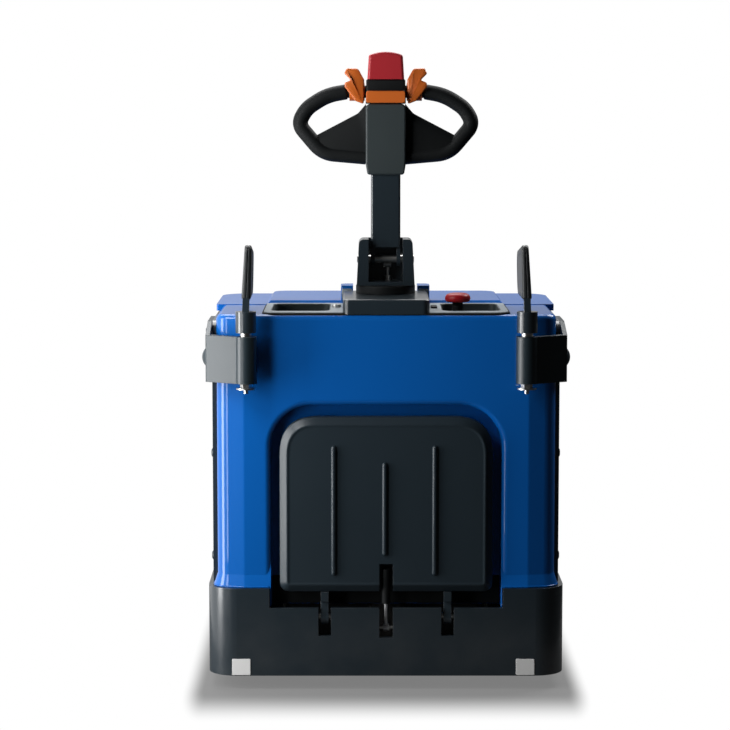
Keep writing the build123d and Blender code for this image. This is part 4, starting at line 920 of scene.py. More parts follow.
@dataclass
class TillerGrips:
    """Grip loops, their wings and the control housing between them.

    Heights are from the head's top and depths from the neck bar.

    Attributes:
        path: X and height of the right grip's centre line.
        bends: Bend radius at each point of the path.
        bend_steps: Segments of each bend.
        radius: Radius of the grip.
        rim: Share of the path's first stretch and radius of each ring at the grip's neck end.
        wing: X, height and corner radius of the right wing.
        wing_half: Half thickness of the wing.
        wing_steps: Segments of the wing's rounded corner.
        bevel: How far inwards and down the wing's first points lie on its bevelled rear face.
        bevel_depth: Depth of that bevel.
        housing: Half width, rear and front of the control housing.
        housing_corner: Radius of its upright corners.
        housing_rings: Height and inset of each of its rings.
        neck: Half length and radius of the neck bar.
        crease: Angle in degrees above which an edge stays sharp.
        rounding: Width of the rounded edges.
    """

    path: Pairs = (
        (0.082, NECK_RISE), (0.124, 0.0175), (0.1655, -0.0095), (0.1845, -0.042), (0.1325, -0.1035),
        (0.041, -0.1115),
    )
    bends: tuple[float, ...] = (0.0, 0.11, 0.06, 0.027, 0.06, 0.0)
    bend_steps: int = 10
    radius: float = 0.016
    rim: Pairs = ((0.0, 0.0128), (0.03, 0.0152), (0.08, 0.0158), (0.2, 0.016))
    wing: Triples = (
        (0.041, 0.0, 0.0), (0.058, -0.020, 0.022), (0.15825, -0.07245, 0.0), (0.1325, -0.1035, 0.0),
        (0.041, -0.1115, 0.0),
    )
    wing_half: float = 0.012
    wing_steps: int = 6
    bevel: Pairs = ((0.0, 0.024), (0.004, 0.01875), (0.0075, 0.012))
    bevel_depth: float = 0.009
    housing: Triple = (0.042, -0.027, 0.031)
    housing_corner: float = 0.006
    housing_rings: Pairs = ((0.0, 0.0), (0.026, 0.0), (0.0275, 0.001), (0.049, 0.001), (0.051, 0.003))
    neck: Pair = (0.088, 0.013)
    crease: float = 50.0
    rounding: float = 0.0018

    def build(self, wardrobe: Wardrobe) -> None:
        """Makes the loops as one piece.

        Args:
            wardrobe: Finishes to dress them with.
        """
        maker = MeshMaker()
        for side in SIDES.values():
            self._grip(maker, side)
            self._wing(maker, side)
        self._housing(maker)
        loops = maker.make("tiller_grip_loops", self.crease)
        soften(loops, self.rounding)
        wardrobe.fit(loops, Finishes.BLACK_PLASTIC, Bodies.TILLER.value)
        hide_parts("tiller_handles")

    def _grip(self, maker: MeshMaker, side: int) -> None:
        """Adds one bent grip with a rounded rim at its neck end.

        Args:
            maker: Piece that it is added to.
            side: -1 for the left, 1 for the right.
        """
        line = bent_line([(side * x, HEAD_TOP + z) for x, z in self.path], self.bends, self.bend_steps)
        path = [(x, NECK_DEPTH, z) for x, z in line]
        first, second = Vector(path[0]), Vector(path[1])
        rim = [tuple(first.lerp(second, share)) for share, _ in self.rim]
        radii = [radius for _, radius in self.rim] + [self.radius] * (len(path) - 1)
        maker.tube(rim + path[1:], radii)

    def _wing(self, maker: MeshMaker, side: int) -> None:
        """Adds one wing plate with a bevelled upper edge on its rear face.

        Args:
            maker: Piece that it is added to.
            side: -1 for the left, 1 for the right.
        """
        full = [(side * x, HEAD_TOP + z) for x, z, _ in self.wing]
        radii = [radius for _, _, radius in self.wing]
        lowered = list(full)
        for index, (inward, down) in enumerate(self.bevel):
            lowered[index] = (full[index][0] - side * inward, full[index][1] - down)
        edge = round_corners(full, radii, self.wing_steps)
        face = round_corners(lowered, radii, self.wing_steps)
        rear, front = NECK_DEPTH - self.wing_half, NECK_DEPTH + self.wing_half
        layers = ((face, rear), (edge, rear + self.bevel_depth), (edge, front))
        maker.rings([[(x, y, z) for x, z in loop] for loop, y in layers])

    def _housing(self, maker: MeshMaker) -> None:
        """Adds the control housing and the neck bar through it.

        Args:
            maker: Piece that they are added to.
        """
        half, rear, front = self.housing
        plan = oblong((-half, NECK_DEPTH + rear), (half, NECK_DEPTH + front), self.housing_corner)
        maker.rings([[(x, y, HEAD_TOP + z) for x, y in inset(plan, cut)] for z, cut in self.housing_rings])
        reach, radius = self.neck
        start = Vector((-reach, NECK_DEPTH, HEAD_TOP + NECK_RISE))
        maker.turned(start, Vector((1.0, 0.0, 0.0)), [(0.0, radius), (2 * reach, radius)])


@dataclass
class ThrottleLeaves:
    """Two-lobed throttle paddles and the bar across the housing.

    Heights are from the head's top and depths from the neck bar.

    Attributes:
        leaf: X, height and corner radius of the right leaf.
        leaf_steps: Segments of each of its corners.
        rear: Depth of the leaf's rear face.
        rim: Depth from the rear face and inset of each ring of the leaf.
        fold: Height of the fold between the lobes.
        upper_tilt: Forward tilt of the upper lobe.
        lower_tilt: Forward tilt of the lower lobe.
        sleeve: Start, end, inner and outer radius of the sleeve on the neck bar.
        bar: Half width, rear, front, bottom and top of the bar.
        bar_corner: Radius of the bar's corners.
        bar_edge: Width of the bevel round its rear face.
        crease: Angle in degrees above which an edge stays sharp.
    """

    leaf: Triples = (
        (0.045, 0.050, 0.004), (0.058, 0.0735, 0.008), (0.082, 0.074, 0.005), (0.087, 0.063, 0.005),
        (0.073, 0.049, 0.003), (0.086, 0.044, 0.004), (0.086, 0.035, 0.005), (0.064, 0.006, 0.006),
        (0.046, -0.001, 0.004),
    )
    leaf_steps: int = 5
    rear: float = -0.028
    rim: Pairs = (
        (0.0, 0.0030), (0.0008, 0.0012), (0.0024, 0.0), (0.0076, 0.0), (0.0092, 0.0012), (0.0100, 0.0030),
    )
    fold: float = 0.049
    upper_tilt: float = 0.45
    lower_tilt: float = 0.12
    sleeve: tuple[float, float, float, float] = (0.044, 0.076, 0.0133, 0.019)
    bar: tuple[float, float, float, float, float] = (0.041, -0.035, -0.027, 0.002, 0.027)
    bar_corner: float = 0.005
    bar_edge: float = 0.0012
    crease: float = 45.0

    def build(self, wardrobe: Wardrobe) -> None:
        """Makes both leaves and the bar as one piece.

        Args:
            wardrobe: Finishes to dress them with.
        """
        maker = MeshMaker()
        for side in SIDES.values():
            self._leaf(maker, side)
        half, rear, front, low, high = self.bar
        face = oblong((-half, HEAD_TOP + low), (half, HEAD_TOP + high), self.bar_corner)
        layers = ((rear, self.bar_edge), (rear + self.bar_edge, 0.0), (front, 0.0))
        maker.plate(face, NECK_DEPTH, layers)
        leaves = maker.make("throttle_leaves", self.crease)
        wardrobe.fit(leaves, Finishes.ORANGE_PLASTIC, Bodies.TILLER.value)
        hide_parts("throttles")

    def _leaf(self, maker: MeshMaker, side: int) -> None:
        """Adds one leaf with rounded rims, its lobes tilted forward, and its sleeve.

        Args:
            maker: Piece that they are added to.
            side: -1 for the left, 1 for the right.
        """
        corners = [(side * x, z) for x, z, _ in self.leaf]
        loop = round_corners(corners, [radius for _, _, radius in self.leaf], self.leaf_steps)
        rings = []
        for depth, cut in self.rim:
            ring = []
            for x, z in inset(loop, cut):
                above, below = max(0.0, z - self.fold), max(0.0, self.fold - z)
                tilt = self.upper_tilt * above + self.lower_tilt * below
                ring.append((x, NECK_DEPTH + self.rear + depth + tilt, HEAD_TOP + z))
            rings.append(ring)
        maker.rings(rings)
        start, end, bore, outer = self.sleeve
        centre = Vector((side * start, NECK_DEPTH, HEAD_TOP + NECK_RISE))
        length = end - start
        profile = [(0.0, bore), (0.0, outer), (length, outer), (length, bore), (0.0, bore)]
        maker.turned(centre, Vector((side, 0.0, 0.0)), profile)


@dataclass
class PlatformPressing:
    """Pressed pan of the folded platform: a sloped rim, three ribs and the strut's slot.

    Attributes:
        half: Half width of the pan.
        low: Height of its lower edge.
        high: Height of its upper edge.
        rear: Y of its rear face.
        low_corner: Radius of the lower corners.
        top_corner: Radius of the upper corners.
        corner_steps: Segments of each corner.
        rim: Inset from the outline and depth from the rear face of each ring, from the inner face round
            the front edge and over the sloped rim to the rear panel.
        crease: Angle in degrees above which an edge stays sharp.
        ribs: X, lower and upper end of each rib.
        rib: Radius of a rib and how deep its middle is sunk.
        rib_tip: Radius of the flat at a rib's ends.
        rib_steps: Segments of a rib's rounded end.
        rib_sides: Sides of a rib.
        slot: Half width and top of the slot for the strut.
        slot_depth: Depth of that slot.
        foot: Height up to which the slot runs right through.
        through: Depth of a cut right through the pan.
        clear: How far the cuts start outside the pan.
    """

    half: float = 0.220
    low: float = 0.205
    high: float = 0.569
    rear: float = 0.002 - DEPTH_ORIGIN
    low_corner: float = 0.022
    top_corner: float = 0.078
    corner_steps: int = 10
    rim: Pairs = (
        (0.03, 0.0052), (0.0160, 0.0052), (0.0040, 0.0148), (0.0040, 0.0268), (0.0, 0.0268), (0.0, 0.0120),
        (0.0004, 0.0108), (0.0016, 0.0096), (0.0124, 0.0023), (0.0138, 0.0010), (0.0156, 0.0001),
        (0.0176, 0.0002), (0.0192, 0.0010), (0.0215, 0.0012), (0.0222, 0.0012),
    )
    crease: float = 25.0
    ribs: Triples = ((-0.108, 0.240, 0.511), (-0.003, 0.281, 0.476), (0.100, 0.240, 0.511))
    rib: Pair = (0.0056, 0.0012)
    rib_tip: float = 0.0002
    rib_steps: int = 6
    rib_sides: int = 20
    slot: Pair = (0.014, 0.264)
    slot_depth: float = 0.014
    foot: float = 0.219
    through: float = 0.04
    clear: float = 0.01

    def build(self, wardrobe: Wardrobe) -> None:
        """Makes the pan and its ribs.

        Args:
            wardrobe: Finishes to dress them with.
        """
        maker = MeshMaker()
        maker.rings([self._ring(cut, depth) for cut, depth in self.rim])
        pan = maker.make("platform_pressed_pan", self.crease)
        half, top = self.slot
        start = (-half, self.rear - self.clear, self.low - self.clear)
        ends = [(half, self.rear + self.slot_depth, top), (half, self.rear + self.through, self.foot)]
        cut_boxes(pan, [(start, end) for end in ends])
        wardrobe.fit(pan, Finishes.PLATFORM_PAINT, Bodies.PLATFORM.value)
        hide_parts("platform_tray")
        bars = MeshMaker()
        for x, low, high in self.ribs:
            self._rib(bars, x, low, high)
        wardrobe.fit(bars.make("platform_pressed_ribs"), Finishes.PLATFORM_PAINT, Bodies.PLATFORM.value)

    def _ring(self, cut: float, depth: float) -> list[Triple]:
        """Gives the pan's outline, cut inwards all round, at a depth from its rear face.

        Args:
            cut: How far it is cut inwards.
            depth: Depth from the rear face.

        Returns:
            Points of the ring.
        """
        half, low, high = self.half - cut, self.low + cut, self.high - cut
        corners = (self.low_corner, self.low_corner, self.top_corner, self.top_corner)
        radii = [max(radius - cut, LEAST_RADIUS) for radius in corners]
        spots = [(-half, low), (half, low), (half, high), (-half, high)]
        return [(x, self.rear + depth, z) for x, z in round_corners(spots, radii, self.corner_steps)]

    def _rib(self, maker: MeshMaker, x: float, low: float, high: float) -> None:
        """Adds one half-round rib with rounded ends.

        Args:
            maker: Piece that it is added to.
            x: Place of the rib across the pan.
            low: Height of its lower end.
            high: Height of its upper end.
        """
        radius, sink = self.rib
        turns = [math.pi / 2 * step / self.rib_steps for step in range(self.rib_steps + 1)]
        end = [(radius * (1 - math.cos(turn)), max(radius * math.sin(turn), self.rib_tip)) for turn in turns]
        profile = end + [(high - low - far, size) for far, size in reversed(end)]
        centre = Vector((x, self.rear + sink, low))
        maker.turned(centre, Vector((0.0, 0.0, 1.0)), profile, self.rib_sides)


@dataclass
class DashFittings:
    """Tray liners, a dark ring round the dash painted as the shadow line under its edge, the stop button, the
    charge lamp, and pale plates on the lid's step painted as the light its ends reflect.

    Attributes:
        tray: Inner and outer X, rear and front depth of the right tray.
        tray_corner: Radius of the tray's corners.
        liner: Height and inset of each ring of a liner, from its underside up and in to its floor.
        dash: Half width, rear and front depth of the dash.
        dash_corner: Radius of the dash's corners.
        dash_top: Height of the dash's face.
        shade_ring: Height and outward reach of each ring of the dark ring round the dash, a painted shadow
            line.
        large_steps: Segments of a tray's or the dash's corner.
        stop: X and depth of the stop button.
        stop_head: Height and radius of each ring of its head.
        stop_stem: Height and radius of each ring of its stem.
        stop_sides: Sides of the stop button.
        lamp: Half width, middle X, rear and front depth of the charge lamp beside the block.
        lamp_rings: Height above the dash and inset of each ring of the lamp.
        lamp_steps: Segments of the lamp's corners.
        step: Inner and outer X, depth, lower and upper edge of the pale plate on the lid's step, a painted
            reflection.
        highlight_plate_rings: Distance from that depth and inset of each ring of that plate.
        small_corner: Corner radius of the lamp and of the pale plates.
    """

    tray: tuple[float, float, float, float] = (0.116, 0.238, 0.062, 0.246)
    tray_corner: float = 0.022
    liner: Pairs = (
        (0.7362, 0.0030), (0.7385, 0.0008), (0.7822, 0.0006), (0.7828, 0.0012), (0.7822, 0.0020),
        (0.7430, 0.0024), (0.7390, 0.0050), (0.7378, 0.0090),
    )
    dash: Triple = (0.252, 0.024, 0.260)
    dash_corner: float = 0.030
    dash_top: float = 0.7833
    shade_ring: Pairs = (
        (0.7768, 0.0002), (0.7812, 0.0002), (0.7822, 0.0012), (0.7818, 0.0028), (0.7800, 0.0038),
        (0.7768, 0.0042), (0.7768, 0.0002),
    )
    large_steps: int = 8
    stop: Pair = (0.149, 0.100)
    stop_head: Pairs = (
        (0.7990, 0.0100), (0.7990, 0.0212), (0.7998, 0.0238), (0.8018, 0.0258), (0.8045, 0.0265),
        (0.8085, 0.0263), (0.8120, 0.0250), (0.8148, 0.0222), (0.8168, 0.0170), (0.8176, 0.0110),
        (0.8178, 0.0060),
    )
    stop_stem: Pairs = (
        (0.7363, 0.0109), (0.7900, 0.0109), (0.7908, 0.0100), (0.7935, 0.0100), (0.7942, 0.0109),
        (0.7992, 0.0109),
    )
    stop_sides: int = 40
    lamp: tuple[float, float, float, float] = (0.0065, 0.101, 0.120, 0.165)
    lamp_rings: Pairs = ((0.0, 0.0), (0.0023, 0.0), (0.0032, 0.0005), (0.0035, 0.0014))
    lamp_steps: int = 5
    step: tuple[float, float, float, float, float] = (0.0712, 0.0928, 0.266, 0.7895, 0.8135)
    highlight_plate_rings: Pairs = ((0.0004, 0.0), (-0.0008, 0.0), (-0.0012, 0.0005))
    small_corner: float = 0.003

    def build(self, wardrobe: Wardrobe) -> None:
        """Makes the fittings.

        Args:
            wardrobe: Finishes to dress them with.
        """
        chassis = Bodies.CHASSIS.value
        for name, side in SIDES.items():
            wardrobe.fit(self._liner(name, side), Finishes.SLATE_PLASTIC, chassis)
        # A black ring round the dash paints the shadow line under its edge
        wardrobe.fit(self._shade_ring(), Finishes.BLACK_PLASTIC, chassis)
        head = self._turned("stop_button_head", self.stop_head)
        wardrobe.fit(head, Finishes.STOP_RED, chassis)
        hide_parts("emergency_stop")
        wardrobe.fit(self._turned("stop_button_stem", self.stop_stem), Finishes.BLACK_PLASTIC, chassis)
        wardrobe.fit(self._lamp(), Finishes.BLACK_PLASTIC, chassis)
        # Pale plates on the step's ends paint the light that the blue ends reflect
        for name, side in SIDES.items():
            wardrobe.fit(self._step_highlight_plate(name, side), Finishes.DASH_SILVER, Bodies.LIFT.value)

    def _liner(self, name: str, side: int) -> bpy.types.Object:
        """Makes one tray's liner, an open bowl.

        Args:
            name: Name of the side.
            side: -1 for the left, 1 for the right.

        Returns:
            The liner.
        """
        inner, outer, rear, front = self.tray
        rings = []
        for z, cut in self.liner:
            low, high = (inner + cut, rear + cut), (outer - cut, front - cut)
            loop = oblong(low, high, self.tray_corner - cut, self.large_steps)
            rings.append([(side * x, depth - DEPTH_ORIGIN, z) for x, depth in loop])
        maker = MeshMaker()
        maker.rings(rings)
        return maker.make(f"tray_liner_{name}")

    def _shade_ring(self) -> bpy.types.Object:
        """Makes the dark ring round the dash, a painted shadow line under its edge.

        Returns:
            The ring.
        """
        half, rear, front = self.dash
        rings = []
        for z, reach in self.shade_ring:
            low, high = (-half - reach, rear - reach), (half + reach, front + reach)
            loop = oblong(low, high, self.dash_corner + reach, self.large_steps)
            rings.append([(x, depth - DEPTH_ORIGIN, z) for x, depth in loop])
        maker = MeshMaker()
        maker.rings(rings, caps=False)
        return maker.make("dash_shade_ring")

    def _turned(self, name: str, rings: Pairs) -> bpy.types.Object:
        """Turns a piece of the stop button.

        Args:
            name: Name of the piece.
            rings: Height and radius of each ring.

        Returns:
            The piece.
        """
        x, depth = self.stop
        maker = MeshMaker()
        foot = Vector((x, depth - DEPTH_ORIGIN, 0.0))
        maker.turned(foot, Vector((0.0, 0.0, 1.0)), rings, self.stop_sides)
        return maker.make(name)

    def _lamp(self) -> bpy.types.Object:
        """Makes the charge lamp's raised cover on the dash.

        Returns:
            The cover.
        """
        half, middle, rear, front = self.lamp
        low, high = (middle - half, rear - DEPTH_ORIGIN), (middle + half, front - DEPTH_ORIGIN)
        loop = oblong(low, high, self.small_corner, self.lamp_steps)
        maker = MeshMaker()
        maker.rings([[(x, y, self.dash_top + z) for x, y in inset(loop, cut)] for z, cut in self.lamp_rings])
        return maker.make("charge_lamp_cover")

    def _step_highlight_plate(self, name: str, side: int) -> bpy.types.Object:
        """Makes the pale plate on one end of the lid's step, a painted reflection of the light that end
        catches.

        Args:
            name: Name of the side.
            side: -1 for the left, 1 for the right.

        Returns:
            The plate, thin with rounded corners.
        """
        inner, outer, depth, low, high = self.step
        maker = MeshMaker()
        loop = oblong((side * inner, low), (side * outer, high), self.small_corner)
        maker.plate(loop, depth - DEPTH_ORIGIN, self.highlight_plate_rings)
        return maker.make(f"step_highlight_plate_{name}")


@dataclass
class SideScrews:
    """Domed cap screws that hold the side plates.

    Attributes:
        plate: X of the right side plate's outer face.
        places: Depth and height of each screw.
        profile: Distance from the plate and radius of each ring of a screw.
        socket: Half width across the corners of the hexagon socket, and its depth.
        sides: Sides of each ring.
    """

    plate: float = 0.361
    places: Pairs = ((0.120, 0.262), (0.410, 0.262), (0.120, 0.480), (0.410, 0.480), (0.410, 0.715))
    profile: Pairs = (
        (-0.0004, 0.0125), (0.0006, 0.0125), (0.0010, 0.0120), (0.0010, 0.0098), (0.0026, 0.0094),
        (0.0040, 0.0080), (0.0048, 0.0060),
    )
    socket: Pair = (0.0042, 0.0018)
    sides: int = 18

    def build(self, wardrobe: Wardrobe) -> None:
        """Makes each side's screws as one piece.

        Args:
            wardrobe: Finishes to dress them with.
        """
        for name, side in SIDES.items():
            maker = MeshMaker()
            for depth, height in self.places:
                self._screw(maker, Vector((side * self.plate, depth - DEPTH_ORIGIN, height)), side)
            screws = maker.make(f"side_plate_screws_{name}")
            wardrobe.fit(screws, Finishes.BRACKET_PAINT, Bodies.CHASSIS.value)

    def _screw(self, maker: MeshMaker, centre: Vector, side: int) -> None:
        """Adds one screw with its hexagon socket.

        Args:
            maker: Piece that it is added to.
            centre: Middle of the screw on the plate.
            side: -1 for the left, 1 for the right.
        """
        radius, sink = self.socket
        top = self.profile[-1][0]
        turns = [2 * math.pi * step / self.sides for step in range(self.sides)]
        hexagon = [self._flat(radius, turn) for turn in turns]
        levels = [(far, [size] * self.sides) for far, size in self.profile]
        levels += [(top, hexagon), (top - sink, hexagon)]
        rings = []
        for far, sizes in levels:
            spots = [(size * math.cos(turn), size * math.sin(turn)) for size, turn in zip(sizes, turns)]
            rings.append([(centre.x + side * far, centre.y + y, centre.z + z) for y, z in spots])
        maker.rings(rings)

    @staticmethod
    def _flat(radius: float, turn: float) -> float:
        """Gives a hexagon's distance from its middle at a turn."""
        sixth = math.pi / 3
        return radius * math.cos(sixth / 2) / math.cos(turn % sixth - sixth / 2)


@dataclass
class HoodTrim:
    """Rolled bead along the hood's lower lip and the notch's sides, and a dark strip on the recess's back
    wall that paints the shade below the platform.

    Attributes:
        lip: X and depth of the bead's centre line on the right, from the notch to the side.
        bends: Bend radius at each of its points.
        lip_height: Height of the bead.
        notch: X, depth, lower and upper end of the bead down the notch.
        radius: Radius of the bead.
        tip: Length of the notch bead's narrowed end and that end's radius.
        bead_sides: Sides of the bead.
        strip: Half width, rear and front depth, lower and upper edge of the dark strip in the recess, painted
            shade.
        strip_corner: Radius of the strip's corners.
        strip_edge: Width of the bevel round its rear face.
    """

    lip: Pairs = ((0.2425, 0.0072), (0.293, 0.0072), (0.3567, 0.0196), (0.3567, 0.072))
    bends: tuple[float, ...] = (0.0, 0.02, 0.037, 0.0)
    lip_height: float = 0.2153
    notch: tuple[float, float, float, float] = (0.2392, 0.0126, 0.1732, 0.2150)
    radius: float = 0.0019
    tip: Pair = (0.0008, 0.00114)
    bead_sides: int = 12
    strip: tuple[float, float, float, float, float] = (0.2365, 0.0482, 0.0501, 0.1732, 0.232)
    strip_corner: float = 0.003
    strip_edge: float = 0.0006

    def build(self, wardrobe: Wardrobe) -> None:
        """Makes the strip and both sides' beads.

        Args:
            wardrobe: Finishes to dress them with.
        """
        # A black strip on the recess's back wall paints the shade below the platform
        wardrobe.fit(self._strip(), Finishes.BLACK_PLASTIC, Bodies.CHASSIS.value)
        for name, side in SIDES.items():
            wardrobe.fit(self._bead(name, side), Finishes.HOOD_BLUE, Bodies.CHASSIS.value)

    def _strip(self) -> bpy.types.Object:
        """Makes the dark strip in the recess, which paints the shade below the platform.

        Returns:
            The strip.
        """
        half, rear, front, low, high = self.strip
        layers = ((front, 0.0), (rear + self.strip_edge, 0.0), (rear, self.strip_edge))
        maker = MeshMaker()
        maker.plate(oblong((-half, low), (half, high), self.strip_corner), -DEPTH_ORIGIN, layers)
        return maker.make("recess_painted_shade_strip")

    def _bead(self, name: str, side: int) -> bpy.types.Object:
        """Makes one side's bead.

        Args:
            name: Name of the side.
            side: -1 for the left, 1 for the right.

        Returns:
            The bead.
        """
        up = (0.0, 0.0, 1.0)
        line = bent_line([(side * x, depth) for x, depth in self.lip], self.bends)
        path = [(x, depth - DEPTH_ORIGIN, self.lip_height) for x, depth in line]
        maker = MeshMaker()
        maker.tube(path, [self.radius] * len(path), self.bead_sides, up)
        x, depth, low, high = self.notch
        length, narrow = self.tip
        profile = [(0.0, narrow), (length, self.radius), (high - low, self.radius)]
        maker.turned(Vector((side * x, depth - DEPTH_ORIGIN, low)), Vector(up), profile, self.bead_sides)
        return maker.make(f"hood_lip_bead_{name}")


@dataclass
class SkirtFittings:
    """Bare plates on the skirt's rear face.

    Attributes:
        plates: X of each plate's middle.
        half: Half width of a plate.
        low: Height of its lower edge.
        high: Height of its upper edge.
        corner: Radius of its corners.
        corner_steps: Segments of each corner.
        rings: Distance from the skirt's face and inset of each ring of a plate.
    """

    plates: Pair = (-0.300, 0.288)
    half: float = 0.019
    low: float = 0.0315
    high: float = 0.0655
    corner: float = 0.002
    corner_steps: int = 3
    rings: Pairs = ((0.0002, 0.0), (-0.0004, 0.0), (-0.0008, 0.0003))

    def build(self, wardrobe: Wardrobe) -> None:
        """Makes the plates.

        Args:
            wardrobe: Finishes to dress them with.
        """
        for number, middle in enumerate(self.plates):
            low, high = (middle - self.half, self.low), (middle + self.half, self.high)
            maker = MeshMaker()
            maker.plate(oblong(low, high, self.corner, self.corner_steps), -DEPTH_ORIGIN, self.rings)
            plate = maker.make(f"skirt_bare_plate_{number}")
            wardrobe.fit(plate, Finishes.PLATE_WHITE, Bodies.CHASSIS.value)


@dataclass
class Viewpoint:
    """Camera at the photograph's place.

    Attributes:
        skirt_rear: Y of the skirt's rear face.
        distance: Distance of the lens from that face.
        height: Height of the lens above the floor.
        sideways: Place of the lens across the truck.
        pixel_size: Size of one photograph pixel at the skirt's rear face.
        horizon: Row of the horizon in the photograph.
        centre_column: Column of the truck's middle plane in the photograph.
        sensor: Width of the camera's sensor in millimetres.
    """

    skirt_rear: float = -DEPTH_ORIGIN
    distance: float = 5.0
    height: float = 1.22
    sideways: float = -0.05
    pixel_size: float = 0.0020316
    horizon: float = 98.0
    centre_column: float = 386.5
    sensor: float = 36.0

    def build(self) -> bpy.types.Object:
        """Makes the scene's camera.

        Returns:
            The camera.
        """
        focal = self.distance / self.pixel_size
        middle = PHOTO_PIXELS / 2
        data = bpy.data.cameras.new("photo_camera")
        data.sensor_width = self.sensor
        data.lens = self.sensor * focal / PHOTO_PIXELS
        camera = bpy.data.objects.new("photo_camera", data)
        bpy.context.scene.collection.objects.link(camera)
        camera.location = (self.sideways, self.skirt_rear - self.distance, self.height)
        pitch = math.atan2(middle - self.horizon, focal)
        yaw = math.atan2(self.centre_column - middle + self.sideways / self.pixel_size, focal)
        camera.rotation_euler = (math.pi / 2 - pitch, 0.0, yaw)
        bpy.context.scene.camera = camera
        return camera


@dataclass(frozen=True)
class Lamp:
    """One oblong soft lamp.

    Attributes:
        name: Name of the lamp.
        place: Where it stands.
        aim: Point that it faces.
        size: Width and height.
        power: Power in watts.
    """

    name: str
    place: Triple
    aim: Triple
    size: Pair
    power: float

    def build(self) -> None:
        """Makes the lamp."""
        data = bpy.data.lights.new(self.name, "AREA")
        data.shape = "RECTANGLE"
        data.size, data.size_y = self.size
        data.energy = self.power
        lamp = bpy.data.objects.new(self.name, data)
        lamp.location = self.place
        lamp.rotation_mode = "QUATERNION"
        lamp.rotation_quaternion = (Vector(self.aim) - Vector(self.place)).to_track_quat("-Z", "Y")
        bpy.context.scene.collection.objects.link(lamp)


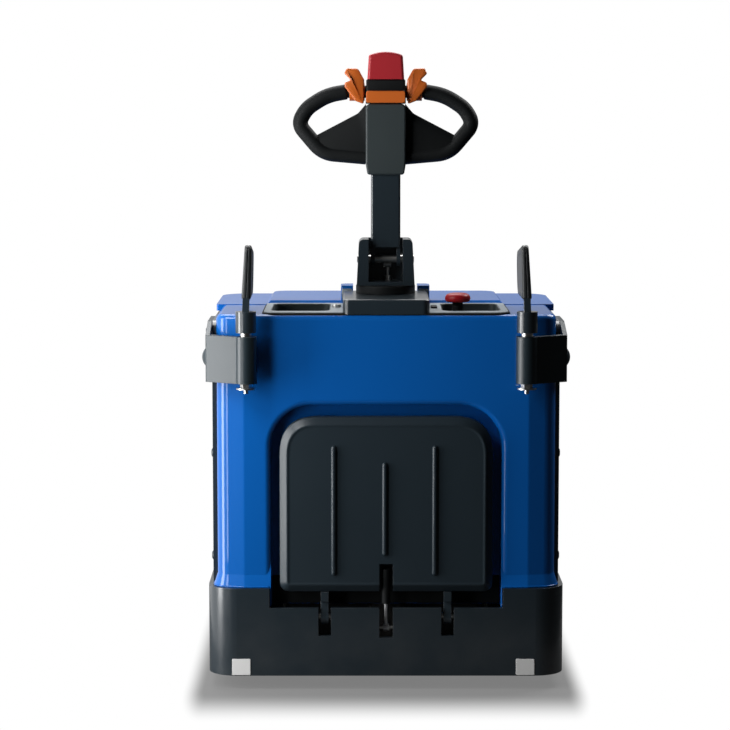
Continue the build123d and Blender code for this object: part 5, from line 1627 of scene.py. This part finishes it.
@dataclass
class Studio:
    """Floor darkened round the truck as a painted shadow, which the lamps' cast shadow deepens, and white
    further out; white surround and soft lamps.

    Attributes:
        floor_shade_colour: Dark colour of the floor round the truck, a painted shadow that also takes the
            lamps' cast shadow.
        floor_glow: White that the floor adds in front of the camera.
        floor_margin: How far the floor runs past the footprint along X and along Y.
        floor_sides: Sides of the floor's oval rim.
        footprint: Lowest and highest X, then lowest and highest Y, of the truck on the floor.
        shadow_reach: Distances from the footprint between which the shadow fades into white.
        shadow_squeeze: How much faster it fades along X and along Y.
        ramp: Weights of X and Y in the surround, and the sums where it is dim and where it is bright.
        levels: Level of the dim and of the bright surround.
        lamps: The soft lamps.
    """

    floor_shade_colour: Colour = (0.08, 0.08, 0.08)
    floor_glow: float = 0.2
    floor_margin: Pair = (0.5, 0.7)
    floor_sides: int = 64
    footprint: tuple[float, float, float, float] = (-0.369, 0.369, -DEPTH_ORIGIN, 0.88)
    shadow_reach: Pair = (0.04, 0.3)
    shadow_squeeze: Pair = (5.6, 1.1)
    ramp: tuple[float, float, float, float] = (-0.9, 0.5, 0.2, 0.9)
    levels: Pair = (0.02, 0.9)
    lamps: tuple[Lamp, ...] = (
        Lamp("key_left", (-1.3, -1.15, 0.62), (-0.1, -0.84, 0.5), (0.4, 1.3), 20.0),
        Lamp("strip_left", (-0.95, -1.67, 0.6), (-0.33, -0.84, 0.45), (0.18, 1.1), 4.6),
        Lamp("side_right", (1.7, 0.6, 2.6), (0.36, 0.2, 0.4), (1.4, 1.4), 60.0),
        Lamp("head_left", (-0.8, -1.4, 1.5), (-0.1, -0.75, 0.95), (0.4, 0.5), 8.0),
        Lamp("top", (-0.5, 1.2, 3.6), (0.0, 0.2, 0.3), (3.0, 3.0), 150.0),
    )

    def build(self) -> None:
        """Makes the floor, the world and the lamps."""
        self._floor()
        self._world()
        for lamp in self.lamps:
            lamp.build()
        bpy.context.scene.view_settings.view_transform = "Standard"

    def _floor(self) -> None:
        """Makes the floor, which is painted dark round the truck's footprint as a shadow, keeps the shadow
        the lamps cast, and fades into white far from it.
        """
        left, right, rear, front = self.footprint
        middle = (rear + front) / 2
        wide = (right - left) / 2 + self.floor_margin[0]
        deep = (front - rear) / 2 + self.floor_margin[1]
        turns = [2 * math.pi * step / self.floor_sides for step in range(self.floor_sides)]
        rim = [(wide * math.cos(turn), middle + deep * math.sin(turn), 0.0) for turn in turns]
        mesh = bpy.data.meshes.new("floor")
        mesh.from_pydata(rim, [], [tuple(range(self.floor_sides))])
        floor = bpy.data.objects.new("floor", mesh)
        bpy.context.scene.collection.objects.link(floor)
        mesh.materials.append(self._floor_material())

    def _floor_material(self) -> bpy.types.Material:
        """Makes the floor's material, dark matt near the truck as a painted shadow and white far from it.

        Returns:
            The material.
        """
        material = bpy.data.materials.new("floor_with_painted_shadow")
        material.use_nodes = True
        board = NodeBoard(material.node_tree)
        # Dark matt floor near the truck: a painted shadow round the footprint, which the lamps' cast shadow
        # deepens
        matt = board.add("ShaderNodeBsdfDiffuse")
        matt.inputs["Color"].default_value = rgba(self.floor_shade_colour)
        path = board.add("ShaderNodeLightPath")
        seen = board.math("MAXIMUM", path.outputs["Is Camera Ray"], path.outputs["Is Transmission Ray"])
        glow = board.add("ShaderNodeEmission")
        board.link(board.math("MULTIPLY", seen, self.floor_glow), glow.inputs["Strength"])
        near = board.add("ShaderNodeAddShader")
        board.link(matt.outputs[0], near.inputs[0])
        board.link(glow.outputs[0], near.inputs[1])
        far = board.add("ShaderNodeEmission")
        reach = board.span(self._away(board), *self.shadow_reach)
        # Smooth step of the reach: its square times three less twice itself
        square = board.math("MULTIPLY", reach, reach)
        fade = board.math("MULTIPLY", square, board.math("SUBTRACT", 3.0, board.math("MULTIPLY", reach, 2.0)))
        both = board.add("ShaderNodeMixShader")
        board.link(board.math("MULTIPLY", fade, seen), both.inputs[0])
        board.link(near.outputs[0], both.inputs[1])
        board.link(far.outputs[0], both.inputs[2])
        output = board.add("ShaderNodeOutputMaterial")
        board.link(both.outputs[0], output.inputs["Surface"])
        return material

    def _away(self, board: NodeBoard) -> bpy.types.NodeSocket:
        """Gives the distance of a floor point from the truck's footprint, stretched by the squeeze.

        Args:
            board: Board of the floor's material.

        Returns:
            Socket with the distance.
        """
        spot = board.add("ShaderNodeSeparateXYZ")
        board.link(board.add("ShaderNodeTexCoord").outputs["Object"], spot.inputs[0])
        gaps = []
        sides = (("X", *self.footprint[:2]), ("Y", *self.footprint[2:]))
        for (axis, low, high), squeeze in zip(sides, self.shadow_squeeze):
            before = board.math("SUBTRACT", low, spot.outputs[axis])
            after = board.math("SUBTRACT", spot.outputs[axis], high)
            gap = board.math("MAXIMUM", board.math("MAXIMUM", before, after), 0.0)
            gap = board.math("MULTIPLY", gap, squeeze)
            gaps.append(board.math("MULTIPLY", gap, gap))
        return board.math("SQRT", board.math("ADD", gaps[0], gaps[1]))

    def _world(self) -> None:
        """Makes a white background, and a surround that is bright on the left and dims to the right.

        The camera sees plain white. Mirrored rays see the surround, which is the same white on the
        left and ahead, where the background is.
        """
        world = bpy.data.worlds.new("studio")
        bpy.context.scene.world = world
        world.use_nodes = True
        board = NodeBoard(world.node_tree)
        parts = board.add("ShaderNodeSeparateXYZ")
        board.link(board.add("ShaderNodeTexCoord").outputs["Generated"], parts.inputs[0])
        aside = board.math("MULTIPLY", parts.outputs["X"], self.ramp[0])
        ahead = board.math("MULTIPLY", parts.outputs["Y"], self.ramp[1])
        turned = board.math("ADD", ahead, aside)
        fill = board.span(turned, *self.ramp[2:], *self.levels)
        path = board.add("ShaderNodeLightPath")
        polished = board.math("MAXIMUM", path.outputs["Is Glossy Ray"], path.outputs["Is Transmission Ray"])
        mirrored = board.math("MULTIPLY", polished, board.span(turned, *self.ramp[2:]))
        seen = board.math("MAXIMUM", path.outputs["Is Camera Ray"], mirrored)
        strength = board.math("MAXIMUM", fill, seen)
        back = board.add("ShaderNodeBackground")
        back.inputs["Color"].default_value = rgba(WHITE)
        board.link(strength, back.inputs["Strength"])
        output = board.add("ShaderNodeOutputWorld")
        board.link(back.outputs[0], output.inputs["Surface"])


def main() -> None:
    """Builds the scene in order and reports its pieces."""
    logging.basicConfig(level=logging.INFO)
    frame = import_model()
    wardrobe = Wardrobe()
    wardrobe.dress_solids(frame["nodes"], frame["record"])
    for part in (
        GuardPads(), TillerGrips(), ThrottleLeaves(), PlatformPressing(), DashFittings(), HoodTrim(),
        SideScrews(), SkirtFittings(),
    ):
        part.build(wardrobe)
    Studio().build()
    Viewpoint().build()


if __name__ == "__main__":
    main()
